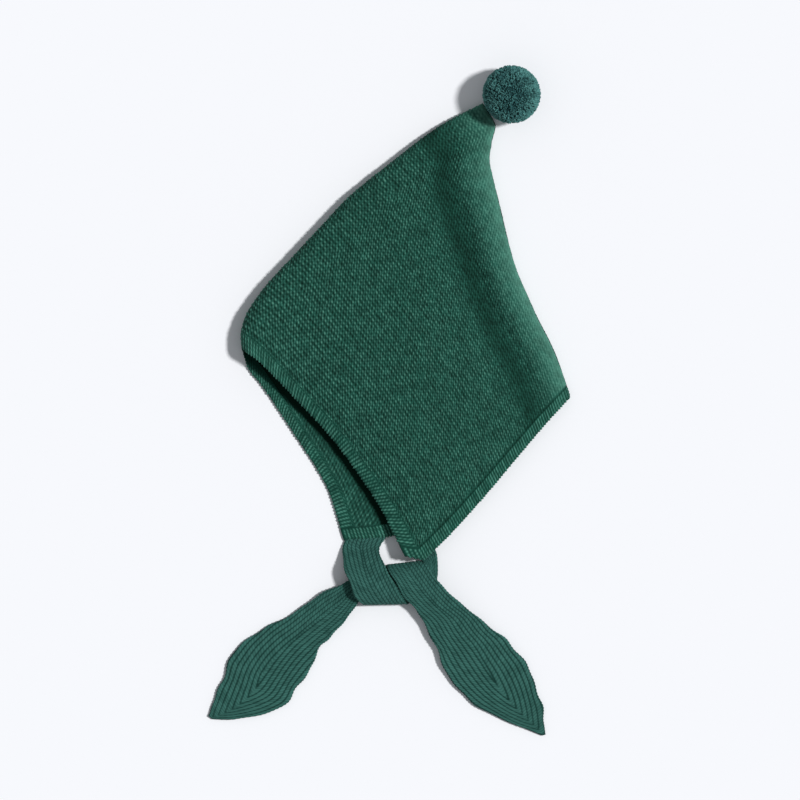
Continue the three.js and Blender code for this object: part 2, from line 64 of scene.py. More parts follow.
Points = np.ndarray
Place = Callable[[np.ndarray, np.ndarray], Points]


class Layer(Enum):
    """The two layers of the folded hood."""

    FAR = -1
    NEAR = 1


def vector(x: float, y: float) -> np.ndarray:
    """A flat vector."""
    return np.array([x, y], dtype=float)


def heading(degrees: float) -> np.ndarray:
    """The unit vector of a heading that turns from +X towards +Y."""
    return vector(math.cos(math.radians(degrees)), math.sin(math.radians(degrees)))


def unit(rows: np.ndarray) -> np.ndarray:
    """Each row as a unit vector."""
    return rows / np.maximum(np.linalg.norm(rows, axis=-1, keepdims=True), TINY)


def smooth_curve(places: np.ndarray, values: np.ndarray, at: np.ndarray) -> np.ndarray:
    """Follow values with a smooth curve that never overshoots them.

    Args:
        places: Where the values stand, rising.
        values: The value at each place, or a row of them with one for each asked place.
        at: Where to read the curve.

    Returns:
        The curve at each asked place.
    """
    spans = np.diff(places).reshape((-1,) + (1,) * (values.ndim - 1))
    slopes = np.diff(values, axis=0) / spans
    before, after = slopes[:-1], slopes[1:]
    total = before + after
    safe = np.where(np.abs(total) < TINY, 1.0, total)
    inner = np.where(before * after > 0, 2 * before * after / safe, 0.0)
    tangents = np.concatenate([slopes[:1], inner, slopes[-1:]])
    i = np.clip(np.searchsorted(places, at, side="right") - 1, 0, len(places) - 2)

    def read(table: np.ndarray, row: np.ndarray) -> np.ndarray:
        """The table's rows, each at its own asked place where it has one for each."""
        return table[row] if table.ndim == 1 else table[row, np.arange(len(row))]

    span = places[i + 1] - places[i]
    u = np.clip((at - places[i]) / span, 0, 1)
    start = read(values, i)
    rise = read(values, i + 1) - start
    bend = (1 - u) * (span * read(tangents, i) - rise) - u * (span * read(tangents, i + 1) - rise)
    return start + rise * u + u * (1 - u) * bend


def stand(name: str, mesh: bpy.types.Mesh) -> bpy.types.Object:
    """Set a mesh in the scene as an object of its own.

    Args:
        name: Name of the piece.
        mesh: Its mesh.

    Returns:
        The object.
    """
    piece = bpy.data.objects.new(name, mesh)
    bpy.context.scene.collection.objects.link(piece)
    return piece


def finish_body(name: str, body: bmesh.types.BMesh) -> bpy.types.Object:
    """Shade a body smooth and set it in the scene.

    Args:
        name: Name of the piece.
        body: Its shape, which is freed.

    Returns:
        The piece.
    """
    for face in body.faces:
        face.smooth = True
    mesh = bpy.data.meshes.new(name)
    body.to_mesh(mesh)
    body.free()
    return stand(name, mesh)


@dataclass(frozen=True)
class Bow:
    """How an outline side bows to the left of its chord, as shares of the chord."""

    along: tuple[float, ...]
    bulge: tuple[float, ...]


class Side:
    """One side of the folded hood's outline: a bowed chord between two corners."""

    def __init__(self, start: np.ndarray, end: np.ndarray, bow: Bow) -> None:
        """Lay the chord and keep its bow.

        Args:
            start: First corner.
            end: Second corner.
            bow: How far the side leaves its chord.
        """
        self.start = start
        self.run = end - start
        self.left = vector(-self.run[1], self.run[0])
        self.length = float(np.linalg.norm(self.run))
        self.places = np.array(bow.along)
        self.bulges = np.array(bow.bulge)

    def point(self, along: np.ndarray) -> np.ndarray:
        """The points at shares of the chord.

        Args:
            along: Shares of the chord.

        Returns:
            Flat points, one for each share.
        """
        along = np.asarray(along, dtype=float)[..., None]
        bulge = smooth_curve(self.places, self.bulges, along[..., 0])[..., None]
        return self.start + along * self.run + bulge * self.left


@dataclass(frozen=True)
class Fold:
    """Cloth that turns over a round fold, at places along a section of it."""

    reach: np.ndarray
    radius: float | np.ndarray
    inset: float | np.ndarray

    @cached_property
    def near(self) -> np.ndarray:
        """Which places are on the near side of the fold's crest."""
        return self.reach >= 0

    @cached_property
    def angle(self) -> np.ndarray:
        """How far each place has turned from the crest."""
        return np.clip(np.abs(self.reach) / self.radius, 0, math.pi / 2)

    @cached_property
    def sweep(self) -> np.ndarray:
        """Share of the way up to the near layer, or down to the far one."""
        return np.where(self.near, 1.0, -1.0) * np.sin(self.angle)

    @cached_property
    def inward(self) -> np.ndarray:
        """Distance in from the fold's outer edge, seen from above."""
        turned = self.inset + (self.radius - self.inset) * (1 - np.cos(self.angle))
        return turned + np.maximum(np.abs(self.reach) - self.radius * math.pi / 2, 0)

    def height(self, top: np.ndarray) -> np.ndarray:
        """Height off the table, where the near layer's outer skin lies at the top's height.

        Args:
            top: Height of the near layer's outer skin.

        Returns:
            Height of each place.
        """
        folded = self.radius + self.sweep * (self.radius - self.inset)
        layered = np.where(self.near, top - self.inset, self.inset)
        return np.where(self.angle < math.pi / 2, folded, layered)

    def between(self, far: np.ndarray, near: np.ndarray) -> np.ndarray:
        """Flat points between those of the far layer and those of the near one."""
        blend = (1 + self.sweep)[:, None] / 2
        return far * (1 - blend) + near * blend


@dataclass
class FoldedHood:
    """Where the hood's cloth lies: its outline, layers, folds and rises, in millimetres."""

    crown_length: float = 234.0
    crown_heading: float = 45.5
    face_length: float = 180.0
    face_heading: float = -51.9
    back_length: float = 209.0
    back_heading: float = -73.4
    far_chin_back: float = 41.5
    far_chin_up: float = 10.9
    wall: float = 2.2
    band_wall: float = 2.6
    gap: float = 0.42
    loft: float = 14.5
    face_band_width: float = 9.5
    neck_band_width: float = 7.5
    crown_bow: Bow = Bow(
        (0.0, 0.04, 0.1, 0.2, 0.38, 0.52, 0.68, 0.85, 1.0),
        (0.0, 0.039, 0.064, 0.078, 0.083, 0.086, 0.07, 0.045, 0.0),
    )
    back_bow: Bow = Bow(
        (0.0, 0.08, 0.13, 0.2, 0.33, 0.52, 0.7, 0.86, 1.0),
        (0.0, 0.018, -0.008, -0.035, -0.042, -0.051, -0.032, -0.006, 0.0),
    )
    near_face_bow: Bow = Bow(
        (0.0, 0.09, 0.28, 0.5, 0.75, 1.0), (0.0, 0.022, 0.042, 0.058, 0.045, 0.0)
    )
    far_face_bow: Bow = Bow(
        (0.0, 0.1, 0.2, 0.44, 0.72, 1.0), (0.0, -0.018, 0.0, 0.025, 0.045, 0.0)
    )
    near_neck_bow: Bow = Bow(
        (0.0, 0.06, 0.16, 0.4, 0.65, 0.85, 1.0), (0.0, -0.07, -0.07, -0.056, -0.03, -0.01, 0.0)
    )
    far_neck_bow: Bow = Bow(
        (0.0, 0.2, 0.42, 0.6, 0.8, 1.0), (0.0, -0.095, -0.125, -0.095, -0.035, 0.0)
    )
    loft_stations: tuple[float, ...] = (0.0, 0.12, 0.3, 0.55, 0.72, 0.84, 0.915, 1.0)
    loft_lines: tuple[float, ...] = (0.0, 0.22, 0.5, 0.8, 1.0)
    loft_shares: tuple[tuple[float, ...], ...] = (
        (0.96, 0.92, 0.83, 0.72, 0.59, 0.39, 0.23, 0.0),
        (0.52, 0.8, 0.9, 0.86, 0.7, 0.37, 0.48, 0.0),
        (0.28, 0.66, 0.83, 0.86, 0.72, 0.39, 0.61, 0.0),
        (0.25, 0.47, 0.59, 0.61, 0.56, 0.38, 0.53, 0.0),
        (0.66, 0.46, 0.29, 0.26, 0.26, 0.23, 0.26, 0.0),
    )
    fold_settle: float = 9.0
    seam_roll: float = 2.6
    shade_from: float = 3.0
    shade_fade: float = 3.5
    shade_least: float = 0.03

    def __post_init__(self) -> None:
        """Set out the corners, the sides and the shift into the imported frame."""
        forehead = vector(0, 0)
        self.crown_tip = forehead + self.crown_length * heading(self.crown_heading)
        self.nape = self.crown_tip + self.back_length * heading(self.back_heading)
        near_chin = forehead + self.face_length * heading(self.face_heading)
        far_chin = near_chin + vector(-self.far_chin_back, self.far_chin_up)
        self.forehead = forehead
        self.chin = {Layer.NEAR: near_chin, Layer.FAR: far_chin}
        self.crown = Side(forehead, self.crown_tip, self.crown_bow)
        self.back = Side(self.crown_tip, self.nape, self.back_bow)
        self.face = {
            Layer.NEAR: Side(forehead, near_chin, self.near_face_bow),
            Layer.FAR: Side(forehead, far_chin, self.far_face_bow),
        }
        self.neck = {
            Layer.NEAR: Side(near_chin, self.nape, self.near_neck_bow),
            Layer.FAR: Side(far_chin, self.nape, self.far_neck_bow),
        }
        self.flat_layers = 2 * self.band_wall + self.gap

    @cached_property
    def shift(self) -> np.ndarray:
        """From the forehead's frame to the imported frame, by the face band's box.

        Returns:
            The flat shift, in millimetres.
        """
        low, high = (np.array(corner[:2]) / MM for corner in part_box("face_band"))
        rows = []
        for layer in Layer:
            last = 1 - (self.neck_band_width + self.gap) / self.face[layer].length
            shares = np.linspace(0, last, 200)
            for width in (0.0, self.face_band_width):
                rows.append(self.plan(layer, width / self.row_length(layer, shares), shares))
        points = np.concatenate(rows)
        return (low + high) / 2 - (points.min(axis=0) + points.max(axis=0)) / 2

    def row_length(self, layer: Layer, t: np.ndarray) -> np.ndarray:
        """Length of the cloth from the face to the back seam."""
        return self.crown_length + (self.neck[layer].length - self.crown_length) * t

    def column_length(self, layer: Layer, s: np.ndarray) -> np.ndarray:
        """Length of the cloth from the crown to the neck."""
        return self.face[layer].length + (self.back_length - self.face[layer].length) * s

    def plan(self, layer: Layer, s: np.ndarray, t: np.ndarray) -> np.ndarray:
        """Place seen from above.

        Args:
            layer: The layer of cloth.
            s: Share of the way from the face edge to the back seam.
            t: Share of the way from the crown to the neck.

        Returns:
            Flat points in the forehead's frame.
        """
        s, t = np.broadcast_arrays(np.asarray(s, dtype=float), np.asarray(t, dtype=float))
        a, b = s[..., None], t[..., None]
        across = self.crown.point(s) * (1 - b) + self.neck[layer].point(s) * b
        along = self.face[layer].point(t) * (1 - a) + self.back.point(t) * a
        corners = self.forehead * (1 - a) * (1 - b) + self.crown_tip * a * (1 - b)
        corners = corners + self.chin[layer] * (1 - a) * b + self.nape * a * b
        return across + along - corners

    def near_top(self, s: np.ndarray, t: np.ndarray) -> np.ndarray:
        """Height of the near layer's outer skin.

        Args:
            s: Share of the way from the face edge to the back seam.
            t: Share of the way from the crown to the neck.

        Returns:
            Height over the table, in millimetres.
        """
        stations = np.array(self.loft_stations)
        rows = np.stack([smooth_curve(stations, np.array(row), s) for row in self.loft_shares])
        return self.flat_layers + self.loft * smooth_curve(np.array(self.loft_lines), rows, t)

    def half_girth(self, layer: Layer, s: np.ndarray) -> np.ndarray:
        """Length of a cross-section's cloth from the crown fold's crest to the neck edge."""
        radius = self.near_top(s, np.zeros_like(s)) / 2
        return self.column_length(layer, s) - radius + radius * math.pi / 2

    def cloth(self, s: np.ndarray, reach: np.ndarray, inset: float | np.ndarray = 0.0) -> Points:
        """Points of the hood's cloth.

        Args:
            s: Share of the way from the face edge to the back seam.
            reach: Distance along the cloth from the crown fold's crest, below 0 on the far layer.
            inset: Depth below the outer skin.

        Returns:
            Points in the forehead's frame, in millimetres.
        """
        height = self.near_top(s, np.zeros_like(s))
        radius = height / 2
        fold = Fold(reach, radius, inset)
        shares = {layer: fold.inward / self.column_length(layer, s) for layer in Layer}
        flat = fold.between(*(self.plan(layer, s, shares[layer]) for layer in Layer))
        fold_end = radius / self.column_length(Layer.NEAR, s)
        beyond = np.maximum(fold.inward - radius, 0)
        settle = (height - self.near_top(s, fold_end)) * np.exp(-beyond / self.fold_settle)
        top = self.near_top(s, shares[Layer.NEAR]) + settle
        z = fold.height(top)
        far, near = (self.row_length(layer, shares[layer]) for layer in Layer)
        off_seam = (1 - s) * np.where(fold.near, near, far)
        middle = self.flat_layers / 2
        drop = np.clip(1 - off_seam / self.seam_roll, 0, 1)
        z = middle + (z - middle) * np.sqrt(1 - drop**2)
        return np.column_stack([flat, z])

    def shade_inside(self, points: Points) -> np.ndarray:
        """Painted shade of the inside: the share of its colour kept, little past the near layer's
        face edge.

        Args:
            points: Points in the forehead's frame, in millimetres.

        Returns:
            A share for each point, from the dark depth to the open cloth.
        """
        edge = self.face[Layer.NEAR].point(np.linspace(0, 1, 120))
        run = unit(np.gradient(edge, axis=0))
        gaps = points[:, None, :2] - edge[None]
        nearest = np.argmin(np.sum(gaps**2, axis=2), axis=1)
        offset = gaps[np.arange(len(points)), nearest]
        ahead = run[nearest]
        under = ahead[:, 0] * offset[:, 1] - ahead[:, 1] * offset[:, 0]
        open_to_light = np.clip((-under - self.shade_from) / self.shade_fade, 0, 1)
        return self.shade_least + (1 - self.shade_least) * open_to_light

    @cached_property
    def face_runs(self) -> dict[Layer, float]:
        """Length of each layer's face edge, from the forehead fold's crest to the chin."""
        edge = np.zeros(1)
        return {layer: float(self.half_girth(layer, edge)[0]) for layer in Layer}

    def face_cloth(self, width: np.ndarray, reach: np.ndarray, inset: np.ndarray) -> Points:
        """Points of the cloth beside the face edge.

        Args:
            width: Distance in from the face edge.
            reach: Distance along the edge from the forehead fold's crest, below 0 on the far layer.
            inset: Depth below the outer skin.

        Returns:
            Points in the forehead's frame, in millimetres.
        """
        far = reach < 0
        lengths = [self.face[layer].length for layer in Layer]
        share = np.clip(np.abs(reach) / np.where(far, *lengths), 0, 1)
        s = width / np.where(far, *(self.row_length(layer, share) for layer in Layer))
        edge = np.where(far, *(self.face_runs[layer] for layer in Layer))
        whole = np.where(far, *(self.half_girth(layer, s) for layer in Layer))
        return self.cloth(s, reach / edge * whole, inset)

    def neck_cloth(self, width: np.ndarray, reach: np.ndarray, inset: np.ndarray) -> Points:
        """Points of the cloth beside the neck edge.

        Args:
            width: Distance in from the neck edge.
            reach: Distance along the edge from the nape fold's crest, below 0 on the far layer.
            inset: Depth below the outer skin.

        Returns:
            Points in the forehead's frame, in millimetres.
        """
        radius = self.flat_layers / 2
        fold = Fold(reach, radius, inset)
        shares = {layer: 1 - fold.inward / self.neck[layer].length for layer in Layer}
        lines = {layer: 1 - width / self.column_length(layer, shares[layer]) for layer in Layer}
        flat = fold.between(*(self.plan(layer, shares[layer], lines[layer]) for layer in Layer))
        settle = 1 - np.exp(-np.maximum(fold.inward - radius, 0) / self.fold_settle)
        top = self.near_top(shares[Layer.NEAR], lines[Layer.NEAR])
        top = self.flat_layers + (top - self.flat_layers) * settle
        return np.column_stack([flat, fold.height(top)])


@dataclass
class Relief:
    """Height of the knit over its cloth, and how deep each place lies in it, which the colour ramp
    turns into painted shade in the hollows and painted light on the crests; some pieces multiply
    more painted shade and light into it.
    """

    height: np.ndarray
    depth: np.ndarray


class Knitting:
    """The stitches of the knitted pieces, with one seeded unevenness for all of them."""

    LOOP_ROWS = ((0.0, 0.78), (0.5, 0.7))
    LOOP_LEAN = (0.76, 0.65)
    LOOP_SIZE = (0.45, 0.235)
    MIDDLE_HEIGHT = 0.7
    WALE_SLANT = 1.1

    def __init__(self, seed: int) -> None:
        """Draw the unevenness of every stitch."""
        self.rows = np.random.default_rng(seed).normal(0, 1, (257, 251))

    def uneven(self, u: np.ndarray, v: np.ndarray) -> np.ndarray:
        """A value of its own for the stitch at each place.

        Args:
            u: Count across the stitches.
            v: Count along them.

        Returns:
            A steady chance value, within 1.8 of zero.
        """
        i = np.floor(u).astype(int) % self.rows.shape[0]
        j = np.floor(v).astype(int) % self.rows.shape[1]
        return np.clip(self.rows[i, j], -1.8, 1.8)

    def garter(self, ridges: np.ndarray, stitches: np.ndarray, height: float) -> Relief:
        """Garter ridges: a strong row of slanted loops and a weaker staggered row to a ridge.

        Args:
            ridges: Count of ridges.
            stitches: Count of stitches.
            height: How far the loops stand out, in millimetres.

        Returns:
            The relief.
        """
        level, turned = self.LOOP_LEAN
        long, wide = self.LOOP_SIZE
        best = np.zeros_like(ridges)
        for start, strength in self.LOOP_ROWS:
            nearest = np.round(ridges - start)
            for ridge in (nearest - 1, nearest, nearest + 1):
                shifted = stitches - start - 0.07 * self.uneven(ridge, stitches / 4)
                stitch = np.round(shifted)
                along = shifted - stitch
                off = ridges - start - ridge + 0.08 * self.uneven(stitch, ridge)
                lengthwise = level * along - turned * off
                across = turned * along + level * off
                loop = np.exp(-((lengthwise / long) ** 2) - (across / wide) ** 2)
                own = 1 + 0.2 * self.uneven(ridge + 60 * start, stitch)
                best = np.maximum(best, strength * loop * own)
        raised = np.clip(0.95 * best + 0.08 + 0.14 * np.cos(2 * math.pi * ridges), 0, 1.3)
        # The depth also darkens the colour in the hollows between the loops: painted shade.
        return Relief(height * (raised - 0.6), np.clip(raised, 0, 1))

    def wale(
        self, ribs: np.ndarray, stitches: np.ndarray, height: float, crisp: np.ndarray
    ) -> Relief:
        """Wales of slanted stitches, whose furrows are shallow with faint painted shade at crisp 0
        and deeper with dark painted shade at crisp 1.

        Args:
            ribs: Count of ribs.
            stitches: Count of stitches.
            height: How far the loops stand out, in millimetres.
            crisp: How deep the furrows are and how dark their painted shade is.

        Returns:
            The relief.
        """
        off = ribs - np.round(ribs)
        line = np.round(ribs)
        row = stitches + 0.08 * self.uneven(line, stitches / 3)
        slanted = row + self.WALE_SLANT * off
        along = slanted - np.round(slanted)
        stitch = np.exp(-((np.abs(along) / 0.4) ** 3))
        wale = np.exp(-((np.abs(off) / 0.44) ** 5))
        furrow = 0.46 - 0.22 * crisp
        own = 0.95 + 0.03 * crisp + 0.07 * self.uneven(line + 30, np.round(slanted))
        gap = 0.46 - 0.06 * crisp
        raised = np.clip((furrow + (1 - furrow) * wale) * (1 - gap + gap * stitch) * own, 0, 1.2)
        return Relief(height * (raised - self.MIDDLE_HEIGHT), np.clip(raised, 0, 1))

    def rib(self, ribs: np.ndarray, stitches: np.ndarray, height: float) -> Relief:
        """Ribs of stitch columns: rounded wales, each a chain of slanted loops.

        Args:
            ribs: Count of ribs.
            stitches: Count of stitches.
            height: How far the loops stand out, in millimetres.

        Returns:
            The relief.
        """
        off = ribs - np.round(ribs)
        wale = np.exp(-((np.abs(off) / 0.32) ** 2.6))
        chain = 0.5 + 0.5 * np.cos(2 * math.pi * (stitches + 0.9 * off))
        own = 1 + 0.12 * self.uneven(ribs + 0.5, stitches)
        own = own + 0.1 * self.uneven(ribs + 0.5, 0 * stitches)
        raised = np.clip((0.2 + 0.8 * wale) * (0.52 + 0.48 * chain) * own, 0, 1.2)
        # The depth also darkens the colour in the furrows and between the loops: painted shade.
        return Relief(height * (raised - self.MIDDLE_HEIGHT), np.clip(raised, 0, 1))


@dataclass
class Cloth:
    """A knitted grid: its samples, where they go, and how far its stitches stand out."""

    name: str
    columns: np.ndarray
    rows: np.ndarray
    place: Place
    relief: Callable[[np.ndarray, np.ndarray], Relief]
    away: Place
    steps: tuple[float, float] = (0.05, 0.05)
    cuts: tuple[tuple[float, float, float, float], ...] = ()
    closed: bool = False

    def build(self, shift: np.ndarray) -> bpy.types.Object:
        """Make the grid, cut it, lay it as cloth and raise its stitches.

        Args:
            shift: From the forehead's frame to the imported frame, in millimetres.

        Returns:
            The finished object.
        """
        grid = bmesh.new()
        bmesh.ops.create_grid(
            grid, x_segments=len(self.columns) - 1, y_segments=len(self.rows) - 1, size=0.5
        )
        flat = np.array([vert.co[:2] for vert in grid.verts])
        u = np.interp(flat[:, 0], np.linspace(-0.5, 0.5, len(self.columns)), self.columns)
        v = np.interp(flat[:, 1], np.linspace(-0.5, 0.5, len(self.rows)), self.rows)
        for vert, x, y in zip(grid.verts, u.tolist(), v.tolist()):
            vert.co = (x, y, 0.0)
        for place_u, place_v, along_u, along_v in self.cuts:
            bmesh.ops.bisect_plane(
                grid,
                geom=grid.verts[:] + grid.edges[:] + grid.faces[:],
                dist=1e-4,
                plane_co=(place_u, place_v, 0.0),
                plane_no=(along_u, along_v, 0.0),
                clear_outer=True,
            )
        mesh = bpy.data.meshes.new(self.name)
        grid.to_mesh(mesh)
        grid.free()
        return self.lay(mesh, shift)

    def lay(self, mesh: bpy.types.Mesh, shift: np.ndarray) -> bpy.types.Object:
        """Take a flat grid of stitches to its place.

        Args:
            mesh: The grid, with stitch coordinates for X and Y.
            shift: From the forehead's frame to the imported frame, in millimetres.

        Returns:
            The object that holds the laid mesh.
        """
        flat = np.empty(len(mesh.vertices) * 3)
        mesh.vertices.foreach_get("co", flat)
        u, v = flat.reshape(-1, 3)[:, 0], flat.reshape(-1, 3)[:, 1]
        step_u, step_v = self.steps
        along_u = self.place(u + step_u, v) - self.place(u - step_u, v)
        along_v = self.place(u, v + step_v) - self.place(u, v - step_v)
        normal = unit(np.cross(along_u, along_v))
        facing = float(np.sign(np.mean(np.sum(normal * unit(self.away(u, v)), axis=1))))
        knit = self.relief(u, v)
        points = self.place(u, v) + facing * normal * knit.height[:, None]
        points[:, :2] += shift
        points[:, 2] = np.maximum(points[:, 2], TABLE_CLEARANCE)
        mesh.vertices.foreach_set("co", (points * MM).ravel())
        # The depth attribute carries the painted shade and light that the material's colour ramp
        # reads.
        layer = mesh.attributes.new("depth", "FLOAT", "POINT")
        layer.data.foreach_set("value", knit.depth.astype(np.float32))
        body = bmesh.new()
        body.from_mesh(mesh)
        if facing < 0:
            bmesh.ops.reverse_faces(body, faces=body.faces[:])
        if self.closed:
            bmesh.ops.remove_doubles(body, verts=body.verts[:], dist=2e-5)
            open_edges = [edge for edge in body.edges if edge.is_boundary]
            bmesh.ops.holes_fill(body, edges=open_edges, sides=0)
        for face in body.faces:
            face.smooth = True
        body.to_mesh(mesh)
        body.free()
        return stand(self.name, mesh)


@dataclass(frozen=True)
class YarnFinish:
    """Dyed wool yarn: its colours, from painted shade in the depth of the knit to painted light on
    its crests.
    """

    name: str
    # shade is the painted shade colour of the hollows, crest the painted light colour of the crests
    shade: tuple[float, float, float]
    body: tuple[float, float, float]
    crest: tuple[float, float, float]
    roughness: float = 0.88
    sheen: float = 0.06
    sheen_tint: tuple[float, float, float] = (0.35, 0.62, 0.55)
    fibre_scale: float = 1400.0
    fibre_bump: float = 0.35
    mottle: float = 0.22
    mottle_scale: float = 160.0
    specular: float = 0.12

    def material(self) -> bpy.types.Material:
        """Build the node material.

        Returns:
            A material that reads the piece's own depth attribute and Object coordinates.
        """
        material = bpy.data.materials.new(self.name)
        material.use_nodes = True
        tree = material.node_tree
        nodes, links = tree.nodes, tree.links
        shader = nodes["Principled BSDF"]
        shader.inputs["Roughness"].default_value = self.roughness
        shader.inputs["Specular IOR Level"].default_value = self.specular
        shader.inputs["Sheen Weight"].default_value = self.sheen
        shader.inputs["Sheen Roughness"].default_value = 0.45
        shader.inputs["Sheen Tint"].default_value = (*self.sheen_tint, 1.0)
        depth = nodes.new("ShaderNodeAttribute")
        depth.attribute_name = "depth"
        # The ramp reads the depth attribute: painted shade in the hollows, painted light on the
        # crests.
        ramp = nodes.new("ShaderNodeValToRGB")
        stops = ramp.color_ramp.elements
        stops[0].position, stops[0].color = 0.08, (*self.shade, 1.0)
        stops[1].position, stops[1].color = 0.95, (*self.crest, 1.0)
        middle = stops.new(0.5)
        middle.color = (*self.body, 1.0)
        links.new(depth.outputs["Fac"], ramp.inputs["Fac"])
        place = nodes.new("ShaderNodeTexCoord")
        cloud = nodes.new("ShaderNodeTexNoise")
        cloud.inputs["Scale"].default_value = self.mottle_scale
        cloud.inputs["Detail"].default_value = 4.0
        links.new(place.outputs["Object"], cloud.inputs["Vector"])
        spread = nodes.new("ShaderNodeMapRange")
        spread.inputs["From Min"].default_value = 0.3
        spread.inputs["From Max"].default_value = 0.7
        spread.inputs["To Min"].default_value = 1.0 - self.mottle
        spread.inputs["To Max"].default_value = 1.0 + self.mottle
        links.new(cloud.outputs["Fac"], spread.inputs["Value"])
        tone = nodes.new("ShaderNodeVectorMath")
        tone.operation = "SCALE"
        links.new(ramp.outputs["Color"], tone.inputs[0])
        links.new(spread.outputs["Result"], tone.inputs["Scale"])
        links.new(tone.outputs["Vector"], shader.inputs["Base Color"])
        fibre = nodes.new("ShaderNodeTexNoise")
        fibre.inputs["Scale"].default_value = self.fibre_scale
        fibre.inputs["Detail"].default_value = 3.0
        fibre.inputs["Roughness"].default_value = 0.7
        links.new(place.outputs["Object"], fibre.inputs["Vector"])
        bump = nodes.new("ShaderNodeBump")
        bump.inputs["Strength"].default_value = self.fibre_bump
        bump.inputs["Distance"].default_value = 0.0003
        links.new(fibre.outputs["Fac"], bump.inputs["Height"])
        links.new(bump.outputs["Normal"], shader.inputs["Normal"])
        return material


# Each finish: painted shade colour, body colour, painted light colour for the crests.
HOOD_YARN = YarnFinish(
    "hood_yarn", (0.0, 0.016, 0.009), (0.014, 0.08, 0.058), (0.074, 0.22, 0.165)
)
BAND_YARN = YarnFinish(
    "band_yarn", (0.001, 0.032, 0.021), (0.014, 0.082, 0.058), (0.064, 0.21, 0.158)
)
TIE_YARN = YarnFinish(
    "tie_yarn", (0.0, 0.01, 0.007), (0.008, 0.044, 0.036), (0.04, 0.135, 0.113), mottle=0.1
)
POMPOM_YARN = YarnFinish(
    "pompom_yarn", (0.006, 0.026, 0.028), (0.028, 0.105, 0.106), (0.085, 0.24, 0.225)
)
# The binding's dark colour is partly its yarn and partly painted shade under the pompom.
BINDING_YARN_IN_PAINTED_SHADE = YarnFinish(
    "binding_yarn", (0.003, 0.008, 0.008), (0.01, 0.026, 0.026), (0.02, 0.05, 0.048)
)


def wear(piece: bpy.types.Object, finish: bpy.types.Material, node: str) -> None:
    """Dress a piece, set it riding, and let it stand for its node.

    Args:
        piece: The finished piece.
        finish: Its material.
        node: The CAD node that it stands for.
    """
    piece.data.materials.clear()
    piece.data.materials.append(finish)
    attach(piece, ROOT)
    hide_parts(node)
    log.info("%s stands for %s with %d faces", piece.name, node, len(piece.data.polygons))


